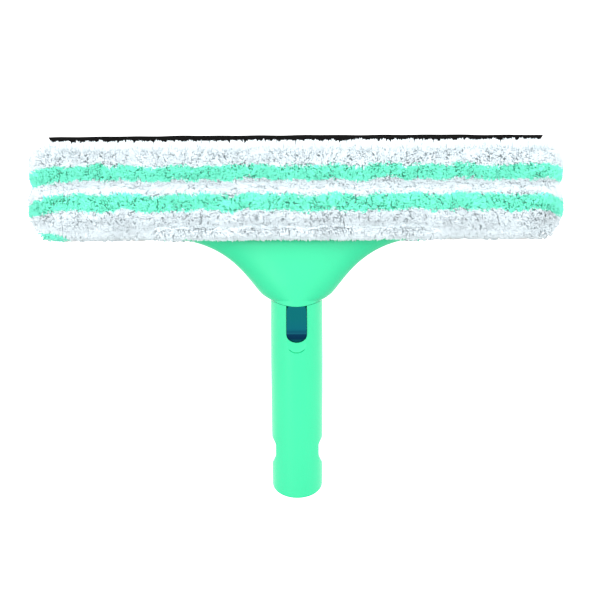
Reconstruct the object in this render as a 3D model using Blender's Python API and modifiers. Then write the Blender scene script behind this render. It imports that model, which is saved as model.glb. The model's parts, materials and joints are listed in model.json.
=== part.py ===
"""Window cleaning squeegee: a pole handle, a two-shell neck, and a head with a rubber blade and a fleece sleeve.

All sizes are in millimetres and become metres where a shape is made.
X runs along the blade, -Y is the front, where the release lever is, and +Z is up.
The origin is on the handle's axis, level with the lowest point of the handle.
"""

import math

import bmesh
import bpy
from mathutils import Matrix, Vector

MM = 0.001
GAP = 0.3  # left between two pieces that touch
THROUGH = 5.0  # how far a cutter runs past what it cuts

# Handle
HANDLE_LENGTH = 126.2  # lowest point to the neck's lower edge, on the front
HANDLE_RADIUS = 17.3
HANDLE_END_RADIUS = 16.5
TAPER_LENGTH = 90.0
BORE_RADIUS = 12.0
END_CUT_ANGLE = 28.6
WAIST_Z = 31.5
WAIST_LENGTH = 21.2
WAIST_FLAT = 7.4
WAIST_DEPTH = 2.4
SPIGOT_WALL = 2.2
SPIGOT_LENGTH = 19.8

# Release lever, its slot and the thumb recess under it
LEVER_WIDTH = 13.3
LEVER_LENGTH = 23.5
LEVER_END_DEPTH = 5.0
LEVER_CORNER = 2.0
LEVER_SINK = 0.3  # lever face below the handle's surface
LEVER_RIDGE = 6.2  # height of the ridge above the lever's low end
LEVER_END_SLOPE = 3.0
PIVOT_DROP = 11.7  # pivot below the neck's lower edge
PIVOT_SETBACK = 4.5  # pivot behind the bore's front wall
LUG_WIDTH = 6.8
LUG_RADIUS = 2.4
NOSE_REACH = 2.4  # how far the nose stands into the bore
NOSE_WIDTH = 6.0
NOSE_HEIGHT = 4.5
NOSE_DROP = 6.5  # top of the nose below the pivot
LIP_THICKNESS = 2.0
LIP_HEIGHT = 15.5  # top of the stop lip above the pivot
RECESS_SIZE = (7.5, 3.5, 8.0)
RECESS_STAND = 1.2  # centre of the recess outside the handle's surface

# Latch block, pin and spring
BLOCK_DROP = 14.2  # bottom of the block below the neck's lower edge
BLOCK_FACE_Y = -7.5
PIN_RADIUS = 1.2
PIN_LENGTH = 14.0
SPRING_RADIUS = 2.3
SPRING_WIRE = 0.6
SPRING_TURNS = 6
SPRING_RISE = 8.0  # spring axis above the pivot
SPRING_POCKET_Y = -2.0

# Neck
NECK_WALL = 3.2
NECK_EDGE_RISE = 4.8  # the lower edge climbs this much from front to side
NECK_RISE = 42.4
NECK_RIM = 5.1
NECK_HALF_WIDTH = 90.0
NECK_TOP_DEPTH = 12.5
NECK_DEPTH_START = 8.0
FLARE_START = (13.3, 6.0)
FLARE_END = (52.6, 1.25)
POST_SPREAD = 28.0
POST_DROP = 15.7  # side posts below the neck's top
POST_RADIUS = 5.0
POST_NOSE_RADIUS = 3.25
LOW_POST_RISE = 13.0  # lower post above the neck's lower edge
LOW_POST_RADIUS = 3.1
SCREW_RADIUS = 1.4
SCREW_HEAD_RADIUS = 2.8
SCREW_HEAD_HEIGHT = 1.3
SIDE_SCREW_SEAT = 3.0  # material under a side screw's head
LOW_POST_STOP = 3.0  # end of the lower post behind the middle

# Head frame
BAR_RADIUS = 10.0
BAR_WALL = 2.4
WEB_HALF = 2.0
WEB_HEIGHT = 15.0
HOLDER_HALF = 8.5
HOLDER_HEIGHT = 19.0
HOLDER_FLOOR = 8.0
PORT_RADIUS = 1.25
PORT_RISE = 4.0
TAB_HALF_WIDTH = 45.0
TAB_HALF_DEPTH = 3.5
TAB_HEIGHT = 22.7
TAB_MARGIN = 3.0
END_CAP_THICKNESS = 7.7
PLUG_LENGTH = 8.0
CAP_SCREW_RADIUS = 0.95
CAP_SCREW_LENGTH = 16.0

# Blade and its channel
BLADE_LENGTH = 330.0
BLADE_OVERHANG = 5.0  # each end of the lip past the frame
BLADE_HEIGHT = 14.7  # bead centre to lip
BLADE_END_SLOPE = 0.52
BEAD_RADIUS = 2.75
BLADE_NECK_HALF = 1.3
BLADE_BODY_HALF = 2.4
LIP_HALF = 1.0
CHANNEL_HALF = 4.5
CHANNEL_HEIGHT = 11.2
FOOT_HALF = 6.0
FOOT_HEIGHT = 1.7
BEAD_RISE = 6.2  # bead centre above the channel's foot

# Fleece sleeve
COVER_END = 10.4  # sleeve past the end cap
COVER_CENTRE_Y = 6.0
UPPER_LOBE = (15.0, 18.0)
UPPER_LOBE_RISE = 31.0  # lobe centres above the bar's centre
LOWER_LOBE = (16.0, 20.0)
LOWER_LOBE_RISE = 2.5
COVER_TOP_CORNER = 13.0
COVER_LOW_CORNER = 6.0
COVER_TAPER = 8.5
COVER_PLAN_CORNER = 16.0
COVER_CLEARANCE = 0.5
SLIT_HALF = 5.3
GROOVE_HALF = 9.0
BINDING_THICKNESS = 1.2
BINDING_WIDTH = 10.5

# Closing flaps and press studs under the sleeve
FLAP_THICKNESS = 1.0
FLAP_REACH = 6.0  # past the middle
FLAP_NECK_GAP = 6.0  # between the wing's tip and the flaps
FLAP_END_INSET = 13.4  # from the sleeve's end
FLAP_DROPS = (6.2, 2.6)  # underside of the outer and inner flap below the bar
STUD_INSETS = (9.0, 15.0)  # from a flap's inner and outer end
STUD_CAP_RADIUS = 5.0
STUD_CAP_THICKNESS = 0.9
STUD_POST_RADIUS = 1.7
STUD_CUP_RADIUS = 3.7
STUD_BALL_RADIUS = 1.7

# Heights and places worked out from the sizes above
NECK_Z = HANDLE_LENGTH
FLARE_Z = NECK_Z + 4.0
NECK_TOP_Z = FLARE_Z + NECK_RISE + NECK_RIM
SPIGOT_RADIUS = BORE_RADIUS + SPIGOT_WALL
SOCKET_RADIUS = SPIGOT_RADIUS + GAP
SPIGOT_TOP_Z = NECK_Z + SPIGOT_LENGTH
PIVOT_Y = PIVOT_SETBACK - BORE_RADIUS
PIVOT_Z = NECK_Z - PIVOT_DROP
BLOCK_Z = NECK_Z - BLOCK_DROP
LEVER_FACE_Y = LEVER_SINK - HANDLE_RADIUS
LEVER_BACK_Y = -BORE_RADIUS - 0.2
LEVER_TOP_Z = NECK_Z + 0.1
LEVER_LOW_Z = LEVER_TOP_Z - LEVER_LENGTH
LEVER_ARC = math.hypot(LEVER_FACE_Y - PIVOT_Y, LEVER_TOP_Z - PIVOT_Z)
SPRING_Z = PIVOT_Z + SPRING_RISE
LOW_POST_Z = NECK_Z + LOW_POST_RISE
POST_Z = NECK_TOP_Z - POST_DROP
SIDE_SEAT_Y = TAB_HALF_DEPTH + GAP + SIDE_SCREW_SEAT
LOW_SEAT_Y = HANDLE_RADIUS - SCREW_HEAD_HEIGHT - GAP
BAR_Z = NECK_TOP_Z + GAP + BAR_RADIUS
HOLDER_Z = BAR_Z + BAR_RADIUS - 1.0 + WEB_HEIGHT
HOLDER_TOP_Z = HOLDER_Z + HOLDER_HEIGHT
SLOT_FLOOR_Z = HOLDER_Z + HOLDER_FLOOR
PORT_Z = HOLDER_Z + PORT_RISE
CHANNEL_Z = SLOT_FLOOR_Z + GAP
BEAD_Z = CHANNEL_Z + BEAD_RISE
CHANNEL_TOP_Z = CHANNEL_Z + CHANNEL_HEIGHT
LIP_Z = BEAD_Z + BLADE_HEIGHT
UPPER_LOBE_Z = BAR_Z + UPPER_LOBE_RISE
LOWER_LOBE_Z = BAR_Z + LOWER_LOBE_RISE
COVER_LOW_Z = LOWER_LOBE_Z - LOWER_LOBE[1]
COVER_TOP_Z = UPPER_LOBE_Z + UPPER_LOBE[1]
FRAME_LENGTH = BLADE_LENGTH - 2 * BLADE_OVERHANG
CAP_END_X = FRAME_LENGTH / 2 + GAP + END_CAP_THICKNESS
COVER_HALF_LENGTH = CAP_END_X + COVER_END
FLAP_START = NECK_HALF_WIDTH + FLAP_NECK_GAP
FLAP_END = COVER_HALF_LENGTH - FLAP_END_INSET
STUD_PLACES = (FLAP_START + STUD_INSETS[0], FLAP_END - STUD_INSETS[1])
INNER_END_X = CAP_END_X + COVER_CLEARANCE


def start_scene():
    for old in list(bpy.data.objects):
        bpy.data.objects.remove(old)
    made = []
    for name in ("window_squeegee", "cutters"):
        group = bpy.data.collections.new(name)
        bpy.context.scene.collection.children.link(group)
        made.append(group)
    return made


PARTS, CUTTERS = start_scene()


def material(name, colour, roughness, metallic=0.0):
    made = bpy.data.materials.new(name)
    made.use_nodes = True
    shader = made.node_tree.nodes["Principled BSDF"]
    shader.inputs["Base Color"].default_value = (*colour, 1.0)
    shader.inputs["Roughness"].default_value = roughness
    shader.inputs["Metallic"].default_value = metallic
    return made


TURQUOISE = ("turquoise_plastic", (0.09, 0.93, 0.50), 0.35)
TEAL = ("teal_plastic", (0.004, 0.16, 0.20), 0.4)
WHITE_PLASTIC = ("white_plastic", (0.80, 0.82, 0.82), 0.45)
STEEL = ("steel", (0.60, 0.60, 0.60), 0.3, 1.0)
ALUMINIUM = ("aluminium", (0.75, 0.76, 0.77), 0.35, 1.0)
RUBBER = ("black_rubber", (0.012, 0.012, 0.012), 0.6)
FLEECE = ("white_fleece", (0.86, 0.90, 0.92), 0.95)
WEBBING = ("white_fabric", (0.80, 0.84, 0.86), 0.9)


def place(name, mesh, finish=None):
    """Link a mesh as a part, or as a cutter when it has no finish."""
    shape = bpy.data.objects.new(name, mesh)
    if finish is None:
        CUTTERS.objects.link(shape)
        shape.hide_render = True
        shape.display_type = "WIRE"
        return shape
    PARTS.objects.link(shape)
    mesh.materials.append(material(name + "_" + finish[0], *finish[1:]))
    mesh.shade_smooth()
    mesh.set_sharp_from_angle(angle=math.radians(32))
    return shape


def box(name, low, high, finish=None):
    mesh = bpy.data.meshes.new(name)
    shape = bmesh.new()
    size = Vector(high) - Vector(low)
    middle = (Vector(high) + Vector(low)) / 2
    frame = Matrix.Translation(middle * MM) @ Matrix.Diagonal((*size * MM, 1))
    bmesh.ops.create_cube(shape, size=1.0, matrix=frame)
    shape.to_mesh(mesh)
    shape.free()
    return place(name, mesh, finish)


def rod(name, start, end, radius, finish=None, end_radius=None, sides=32):
    """A cylinder, or a cone, between two points."""
    start, end = Vector(start) * MM, Vector(end) * MM
    run = end - start
    turn = run.to_track_quat("Z", "Y").to_matrix().to_4x4()
    mesh = bpy.data.meshes.new(name)
    shape = bmesh.new()
    bmesh.ops.create_cone(
        shape,
        cap_ends=True,
        segments=sides,
        radius1=radius * MM,
        radius2=(radius if end_radius is None else end_radius) * MM,
        depth=run.length,
        matrix=Matrix.Translation((start + end) / 2) @ turn,
    )
    shape.to_mesh(mesh)
    shape.free()
    return place(name, mesh, finish)


PLANES = {
    "XZ": Matrix(((1, 0, 0), (0, 0, -1), (0, 1, 0))),
    "YZ": Matrix(((0, 0, 1), (1, 0, 0), (0, 1, 0))),
    "XY": Matrix(((1, 0, 0), (0, 1, 0), (0, 0, 1))),
}


def plate(name, loops, plane, near, far, finish=None):
    """A flat outline, with any holes as further loops, given a thickness from near to far."""
    drawing = bpy.data.curves.new(name + "_outline", "CURVE")
    drawing.dimensions = "2D"
    drawing.fill_mode = "BOTH"
    drawing.extrude = abs(far - near) / 2 * MM
    for loop in loops:
        spline = drawing.splines.new("POLY")
        spline.points.add(len(loop) - 1)
        for point, (across, up) in zip(spline.points, loop):
            point.co = (across * MM, up * MM, 0, 1)
        spline.use_cyclic_u = True
    outline = bpy.data.objects.new(name + "_outline", drawing)
    CUTTERS.objects.link(outline)
    turn = PLANES[plane].to_4x4()
    normal = turn.to_3x3().col[2]
    axis = [abs(part) for part in normal].index(1.0)
    shift = Vector((0, 0, 0))
    shift[axis] = (near + far) / 2 * MM
    outline.matrix_world = Matrix.Translation(shift) @ turn
    bpy.context.view_layer.update()
    mesh = bpy.data.meshes.new_from_object(outline.evaluated_get(bpy.context.evaluated_depsgraph_get()))
    shape = bmesh.new()
    shape.from_mesh(mesh)
    bmesh.ops.remove_doubles(shape, verts=shape.verts, dist=1e-6)
    bmesh.ops.recalc_face_normals(shape, faces=shape.faces)
    shape.transform(outline.matrix_world)
    shape.to_mesh(mesh)
    shape.free()
    bpy.data.objects.remove(outline)
    return place(name, mesh, finish)


def turned(name, profile, centre, finish=None, steps=48):
    """A profile of (radius, height) points, axis to axis from the top down, turned about the vertical."""
    mesh = bpy.data.meshes.new(name)
    points = [(radius * MM, 0, height * MM) for radius, height in profile]
    mesh.from_pydata(points, [(i, i + 1) for i in range(len(points) - 1)], [])
    shape = place(name, mesh, finish)
    shape.location = Vector(centre) * MM
    screw = shape.modifiers.new("turn", "SCREW")
    screw.steps = steps
    screw.render_steps = steps
    screw.use_merge_vertices = True
    screw.merge_threshold = 1e-6
    screw.use_smooth_shade = True
    return shape


def loft(name, sections, finish=None):
    """A skin over rings of equal length, closed at both ends; rings turn anticlockwise from above."""
    mesh = bpy.data.meshes.new(name)
    shape = bmesh.new()
    rings = [[shape.verts.new(Vector(point) * MM) for point in ring] for ring in sections]
    for low, high in zip(rings, rings[1:]):
        for i in range(len(low)):
            j = (i + 1) % len(low)
            shape.faces.new((low[i], low[j], high[j], high[i]))
    shape.faces.new(reversed(rings[0]))
    shape.faces.new(rings[-1])
    shape.to_mesh(mesh)
    shape.free()
    return place(name, mesh, finish)


def combine(target, operation, tools):
    for tool in tools:
        step = target.modifiers.new(tool.name, "BOOLEAN")
        step.operation = operation
        step.object = tool
    return target


def cut(target, *tools):
    return combine(target, "DIFFERENCE", tools)


def join(target, *tools):
    return combine(target, "UNION", tools)


def keep(target, *tools):
    return combine(target, "INTERSECT", tools)


def arc(centre, radii, start, end, steps):
    """Points on an ellipse, by angle in degrees, both ends included."""
    angles = [math.radians(start + (end - start) * i / steps) for i in range(steps + 1)]
    return [(centre[0] + radii[0] * math.cos(a), centre[1] + radii[1] * math.sin(a)) for a in angles]


def circle(centre, radius, steps=32):
    return arc(centre, (radius, radius), 0, 360 * (steps - 1) / steps, steps - 1)


def mirrored(half):
    """A closed outline from its right half, listed from bottom to top."""
    return half + [(-across, up) for across, up in reversed(half)]


def move_origin(shape, point):
    """Put an object's origin on a joint's axis, with its mesh left where it is."""
    shift = Vector(point) * MM
    shape.data.transform(Matrix.Translation(-shift))
    shape.location = shift


# ---------------------------------------------------------------- handle and latch


def neck_edge(drop):
    """The neck's lower edge in front view, a shallow bowl, shifted down by drop."""
    reach = HANDLE_RADIUS + THROUGH
    places = [reach * (i / 12 - 1) for i in range(25)]
    return [(x, NECK_Z - drop + NECK_EDGE_RISE * (x / HANDLE_RADIUS) ** 2) for x in places]


def slot_outline(margin, top):
    """A U: straight sides and a round bottom, this much wider than the lever."""
    half = LEVER_WIDTH / 2 + margin
    centre = (0, LEVER_LOW_Z + LEVER_END_DEPTH)
    return arc(centre, (half, LEVER_END_DEPTH + margin), 180, 360, 16) + [(half, top), (-half, top)]


def make_handle():
    top_z = NECK_Z + NECK_EDGE_RISE + GAP
    straight = [(HANDLE_RADIUS, top_z), (HANDLE_RADIUS, TAPER_LENGTH)]
    tapered = [(HANDLE_END_RADIUS, 0), (HANDLE_END_RADIUS, -THROUGH)]
    outline = [(0, top_z), *straight, *tapered, (0, -THROUGH)]
    handle = turned("handle_tube", outline, (0, 0, 0), TURQUOISE, 56)
    slope = math.tan(math.radians(END_CUT_ANGLE))
    reach = HANDLE_RADIUS + THROUGH
    wedge = [(-reach, slope * (HANDLE_END_RADIUS - reach)), (reach, slope * (HANDLE_END_RADIUS + reach))]
    cut(handle, plate("end_cut", [wedge + [(reach, -reach), (-reach, -reach)]], "YZ", -reach, reach))
    shoulder = neck_edge(GAP)
    high = top_z + THROUGH
    reach = shoulder[-1][0]
    cut(handle, plate("shoulder_cut", [shoulder + [(reach, high), (-reach, high)]], "XZ", -reach, reach))
    join(handle, rod("spigot", (0, 0, BLOCK_Z), (0, 0, SPIGOT_TOP_Z), SPIGOT_RADIUS, sides=56))
    cut(handle, rod("bore", (0, 0, -2 * THROUGH), (0, 0, SPIGOT_TOP_Z + THROUGH), BORE_RADIUS, sides=56))
    slot = slot_outline(GAP, SPIGOT_TOP_Z + THROUGH)
    cut(handle, plate("lever_slot", [slot], "XZ", -HANDLE_RADIUS - THROUGH, -BORE_RADIUS * 0.75))
    cut(handle, make_recess())
    reach = WAIST_LENGTH / 2 + 1.0
    flat = WAIST_FLAT / 2
    for side in (-1, 1):
        inner = side * (HANDLE_END_RADIUS + 0.2 - WAIST_DEPTH)
        outer = side * (HANDLE_RADIUS + 1.0)
        sides = [(outer, -reach), (inner, -flat), (inner, flat), (outer, reach)]
        notch = [(x, WAIST_Z + z) for x, z in sides]
        cut(handle, plate(f"waist_{side}", [notch], "XZ", -HANDLE_RADIUS, HANDLE_RADIUS))
    back = rod("screw_way", (0, 0, LOW_POST_Z), (0, HANDLE_RADIUS, LOW_POST_Z), SCREW_RADIUS + GAP, sides=20)
    return cut(handle, back)


def make_recess():
    """A shallow scoop for the thumb, under the lever."""
    mesh = bpy.data.meshes.new("thumb_recess")
    shape = bmesh.new()
    bmesh.ops.create_uvsphere(shape, u_segments=28, v_segments=16, radius=MM)
    shape.to_mesh(mesh)
    shape.free()
    mesh.transform(Matrix.Diagonal((*RECESS_SIZE, 1)))
    scoop = place("thumb_recess", mesh)
    scoop.location = Vector((0, -HANDLE_RADIUS - RECESS_STAND, LEVER_LOW_Z + 0.7)) * MM
    return scoop


def make_latch_block():
    radius = BORE_RADIUS - GAP
    block = rod("latch_block", (0, 0, BLOCK_Z), (0, 0, SPIGOT_TOP_Z), radius, WHITE_PLASTIC, sides=48)
    front = -BORE_RADIUS - THROUGH
    half = LEVER_WIDTH / 2 + 2 * GAP
    room_top = PIVOT_Z + LIP_HEIGHT + 3.0
    cut(block, box("lever_room", (-half, front, PIVOT_Z + LUG_RADIUS + GAP), (half, BLOCK_FACE_Y, room_top)))
    lug = LUG_WIDTH / 2 + GAP
    lug_back = PIVOT_Y + LUG_RADIUS + 2 * GAP
    lug_top = PIVOT_Z + LUG_RADIUS + 4 * GAP
    cut(block, box("lug_slot", (-lug, front, BLOCK_Z - THROUGH), (lug, lug_back, lug_top)))
    pin_ends = ((-BORE_RADIUS, PIVOT_Y, PIVOT_Z), (BORE_RADIUS, PIVOT_Y, PIVOT_Z))
    cut(block, rod("pin_hole", *pin_ends, PIN_RADIUS + GAP, sides=20))
    pocket_radius = SPRING_RADIUS + SPRING_WIRE / 2 + GAP
    pocket_ends = ((0, front, SPRING_Z), (0, SPRING_POCKET_Y, SPRING_Z))
    cut(block, rod("spring_pocket", *pocket_ends, pocket_radius, sides=24))
    way_radius = LOW_POST_RADIUS + GAP
    return cut(block, rod("post_way", (0, front, LOW_POST_Z), (0, -front, LOW_POST_Z), way_radius, sides=24))


def make_lever():
    """A pad in the handle's slot, with a pivot lug, a nose that catches the pole and a lip that stops it."""
    half = LEVER_WIDTH / 2
    top = LEVER_TOP_Z + THROUGH
    foot = arc((0, LEVER_LOW_Z + LEVER_END_DEPTH), (half, LEVER_END_DEPTH), 180, 360, 16)
    pad = foot + [(half, top), (-half, top)]
    lever = plate("release_lever", [pad], "XZ", LEVER_FACE_Y, LEVER_BACK_Y, TEAL)
    angle = math.degrees(math.atan2(LEVER_TOP_Z - PIVOT_Z, LEVER_FACE_Y - PIVOT_Y))
    sweep = arc((PIVOT_Y, PIVOT_Z), (LEVER_ARC, LEVER_ARC), angle + 8, 90, 14)
    above = sweep + [(PIVOT_Y, top + THROUGH), (sweep[0][0], top + THROUGH)]
    cut(lever, plate("lever_top_cut", [above], "YZ", -half - THROUGH, half + THROUGH))
    for side in (-1, 1):
        corner = side * half
        inner = side * (half - LEVER_CORNER)
        low = LEVER_TOP_Z - LEVER_CORNER
        turn = arc((inner, low), (side * LEVER_CORNER, LEVER_CORNER), 0, 90, 6)
        outline = turn + [(inner, top + 1), (corner + side, top + 1), (corner + side, low)]
        face_cut = plate(f"lever_corner_{side}", [outline], "XZ", LEVER_FACE_Y - 1, LEVER_FACE_Y + 1.2)
        cut(lever, face_cut)
    ridge_z = LEVER_LOW_Z + LEVER_RIDGE
    slope = [
        (LEVER_FACE_Y, ridge_z),
        (LEVER_FACE_Y + LEVER_END_SLOPE, LEVER_LOW_Z - 0.1),
        (LEVER_FACE_Y - THROUGH, LEVER_LOW_Z - 0.1),
        (LEVER_FACE_Y - THROUGH, ridge_z),
    ]
    cut(lever, plate("lever_slope", [slope], "YZ", -half - 1, half + 1))
    lip_y = -SOCKET_RADIUS + GAP
    lip_top = PIVOT_Z + LIP_HEIGHT
    lip = box("stop_lip", (-half, lip_y, LEVER_TOP_Z - 3), (half, lip_y + LIP_THICKNESS, lip_top))
    lug_x = LUG_WIDTH / 2
    lug_z = LUG_RADIUS * 0.96
    web = box("lug_web", (-lug_x, LEVER_BACK_Y - 1, PIVOT_Z - lug_z), (lug_x, PIVOT_Y, PIVOT_Z + lug_z))
    lug = rod("lug", (-lug_x, PIVOT_Y, PIVOT_Z), (lug_x, PIVOT_Y, PIVOT_Z), LUG_RADIUS, sides=32)
    nose_top = PIVOT_Z - NOSE_DROP
    nose_y = NOSE_REACH - BORE_RADIUS
    ramp = [
        (LEVER_BACK_Y - 1, nose_top),
        (nose_y, nose_top),
        (nose_y, nose_top - NOSE_HEIGHT / 2),
        (LEVER_BACK_Y - 0.4, nose_top - NOSE_HEIGHT),
        (LEVER_BACK_Y - 1, nose_top - NOSE_HEIGHT),
    ]
    nose = plate("nose", [ramp], "YZ", -NOSE_WIDTH / 2, NOSE_WIDTH / 2)
    join(lever, lip, web, lug, nose)
    bore_ends = ((-LUG_WIDTH, PIVOT_Y, PIVOT_Z), (LUG_WIDTH, PIVOT_Y, PIVOT_Z))
    cut(lever, rod("lug_bore", *bore_ends, PIN_RADIUS + GAP, sides=20))
    move_origin(lever, (0, PIVOT_Y, PIVOT_Z))
    return lever


def make_spring():
    """A compression spring from the block's pocket to the back of the lever."""
    start, end = SPRING_POCKET_Y - GAP, LEVER_BACK_Y + GAP
    wire = SPRING_WIRE / 2
    length = abs(end - start) - SPRING_WIRE
    steps = SPRING_TURNS * 12
    coil = bpy.data.curves.new("lever_spring", "CURVE")
    coil.dimensions = "3D"
    coil.bevel_depth = wire * MM
    coil.bevel_resolution = 1
    coil.use_fill_caps = True
    spline = coil.splines.new("POLY")
    spline.points.add(steps)
    for i, point in enumerate(spline.points):
        turn = 2 * math.pi * SPRING_TURNS * i / steps
        x = SPRING_RADIUS * math.cos(turn)
        z = SPRING_Z + SPRING_RADIUS * math.sin(turn)
        y = start - wire - length * i / steps
        point.co = (x * MM, y * MM, z * MM, 1)
    coil.materials.append(material("lever_spring_steel", *STEEL[1:]))
    spring = bpy.data.objects.new("lever_spring", coil)
    PARTS.objects.link(spring)
    return spring


# ---------------------------------------------------------------- neck


def flare(t, inset):
    """The neck's side outline, a cubic curve from the handle to the wing tip, moved inwards by inset."""
    first = (HANDLE_RADIUS, FLARE_Z)
    last = (NECK_HALF_WIDTH, FLARE_Z + NECK_RISE)
    handles = (
        (first[0] + FLARE_START[0], first[1] + FLARE_START[1]),
        (last[0] - FLARE_END[0], last[1] - FLARE_END[1]),
    )
    corners = [Vector(corner) for corner in (first, *handles, last)]
    weights = ((1 - t) ** 3, 3 * (1 - t) ** 2 * t, 3 * (1 - t) * t * t, t**3)
    place_at = sum((c * w for c, w in zip(corners, weights)), Vector((0, 0)))
    slopes = (3 * (1 - t) ** 2, 6 * (1 - t) * t, 3 * t * t)
    along = sum(((b - a) * w for a, b, w in zip(corners, corners[1:], slopes)), Vector((0, 0)))
    inward = Vector((-along.y, along.x)).normalized()
    return place_at + inward * inset


def neck_depth(z):
    """Half the neck's thickness: the handle's radius low down, easing to the thin top."""
    start = FLARE_Z + NECK_DEPTH_START
    share = min(max((z - start) / (NECK_TOP_Z - start), 0.0), 1.0)
    ease = share * share * (3 - 2 * share)
    return HANDLE_RADIUS + (NECK_TOP_DEPTH - HANDLE_RADIUS) * ease


def neck_body(name, inset, base_radius, low, top, steps=13):
    """The neck's outside, or with an inset its hollow, or with a negative one its clearance."""
    sides = [(base_radius, low), (base_radius, flare(0, inset).y - 0.6)]
    sides += [tuple(flare(i / steps, inset)) for i in range(steps + 1)]
    sides.append((sides[-1][0] + (0.5 if inset <= 0 else 0.0), top))
    rings = []
    for half_width, z in sides:
        half_depth = base_radius if z < FLARE_Z else neck_depth(z) - inset
        ring = [(half_width * math.cos(a), half_depth * math.sin(a), z) for a in ring_angles()]
        rings.append(ring)
    return loft(name, rings)


def ring_angles():
    """Angles round a neck section, closer together towards the wing tips."""
    count = 40
    even = [2 * math.pi * i / count for i in range(count)]
    return [a + 0.12 * math.sin(2 * a + math.pi) for a in even]


def make_neck():
    hollow = neck_body("neck_hollow", NECK_WALL, SOCKET_RADIUS - 1.0, BLOCK_Z, NECK_TOP_Z + THROUGH)
    posts = []
    for side in (-1, 1):
        across = side * POST_SPREAD
        posts.append(rod(f"post_{side}", (across, -40, POST_Z), (across, 40, POST_Z), POST_RADIUS, sides=24))
        tab_room = TAB_HALF_DEPTH + GAP
        low = (across - POST_RADIUS - 1, -tab_room, POST_Z - POST_RADIUS - 1)
        high = (across + POST_RADIUS + 1, tab_room, POST_Z + POST_RADIUS + 1)
        cut(posts[-1], box(f"tab_room_{side}", low, high))
    cut(hollow, *posts)
    socket = rod("spigot_socket", (0, 0, BLOCK_Z), (0, 0, SPIGOT_TOP_Z + GAP), SOCKET_RADIUS, sides=56)
    below = neck_edge(0)
    reach = below[-1][0]
    edge = plate("neck_edge", [below + [(reach, NECK_Z - 30), (-reach, NECK_Z - 30)]], "XZ", -reach, reach)
    halves = []
    for name, side in (("neck_front_shell", -1), ("neck_rear_shell", 1)):
        shell = neck_body(name + "_body", 0, HANDLE_RADIUS, NECK_Z - 1, NECK_TOP_Z)
        mesh = shell.data
        bpy.data.objects.remove(shell)
        shell = place(name, mesh, TURQUOISE)
        far = NECK_HALF_WIDTH + 2 * THROUGH
        ends = sorted((side * GAP / 2, -side * 60.0))
        other = box(name + "_other_half", (-far, ends[0], NECK_Z - 40), (far, ends[1], NECK_TOP_Z + 20))
        cut(shell, hollow, socket, edge, other)
        halves.append(shell)
    return halves


def finish_front_shell(front):
    """The stop face behind the tongue, the lever's sweep and the screw posts."""
    half = LEVER_WIDTH / 2 + 1.5 * GAP
    room_top = PIVOT_Z + LIP_HEIGHT + 1
    tongue = box("tongue_face", (-half, -SOCKET_RADIUS, NECK_Z - 5), (half, -BORE_RADIUS, room_top))
    sweep = rod("lever_sweep", (-half, PIVOT_Y, PIVOT_Z), (half, PIVOT_Y, PIVOT_Z), LEVER_ARC + GAP, sides=96)
    cut(front, tongue, sweep)
    pilot = SCREW_RADIUS + GAP
    root = (0, 1.0 - HANDLE_RADIUS, LOW_POST_Z)
    join(front, rod("low_post", root, (0, -LOW_POST_STOP, LOW_POST_Z), LOW_POST_RADIUS, sides=24))
    pilot_ends = ((0, 2 - SOCKET_RADIUS, LOW_POST_Z), (0, THROUGH, LOW_POST_Z))
    cut(front, rod("low_pilot", *pilot_ends, pilot, sides=20))
    for side in (-1, 1):
        x = side * POST_SPREAD
        start = -TAB_HALF_DEPTH - 2.0
        nose_ends = ((x, start, POST_Z), (x, TAB_HALF_DEPTH, POST_Z))
        join(front, rod(f"nose_{side}", *nose_ends, POST_NOSE_RADIUS, sides=24))
        cut(front, rod(f"pilot_{side}", (x, start - 1, POST_Z), (x, 8, POST_Z), pilot, sides=20))


def finish_rear_shell(rear):
    """Screw holes, each with a sunk seat for the head."""
    hole = SCREW_RADIUS + GAP
    seat = SCREW_HEAD_RADIUS + GAP
    for side in (-1, 1):
        x = side * POST_SPREAD
        cut(rear, rod(f"hole_{side}", (x, 0, POST_Z), (x, 30, POST_Z), hole, sides=20))
        cut(rear, rod(f"seat_{side}", (x, SIDE_SEAT_Y, POST_Z), (x, 30, POST_Z), seat, sides=24))
    cut(rear, rod("low_seat", (0, LOW_SEAT_Y, LOW_POST_Z), (0, 30, LOW_POST_Z), seat, sides=26))
    cut(rear, rod("low_hole", (0, 5, LOW_POST_Z), (0, 29, LOW_POST_Z), hole, sides=22))
    rear.modifiers["low_hole"].solver = "MANIFOLD"


def make_neck_screws():
    places = (
        ("neck_screw_left", -POST_SPREAD, POST_Z, -TAB_HALF_DEPTH, SIDE_SEAT_Y),
        ("neck_screw_right", POST_SPREAD, POST_Z, -TAB_HALF_DEPTH, SIDE_SEAT_Y),
        ("neck_screw_lower", 0, LOW_POST_Z, 3.0 - SOCKET_RADIUS, LOW_SEAT_Y),
    )
    for name, x, z, tip, seat in places:
        head_y = seat + GAP
        top_y = head_y + SCREW_HEAD_HEIGHT
        screw = rod(name, (x, tip, z), (x, head_y + 0.5, z), SCREW_RADIUS, STEEL, sides=20)
        join(screw, rod(name + "_head", (x, head_y, z), (x, top_y, z), SCREW_HEAD_RADIUS, sides=24))
        for way, wide, tall in (("across", 1.6, 0.35), ("up", 0.35, 1.6)):
            low = (x - wide, top_y - 0.7, z - tall)
            cut(screw, box(f"{name}_{way}", low, (x + wide, top_y + 1, z + tall)))


# ---------------------------------------------------------------- head


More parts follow.
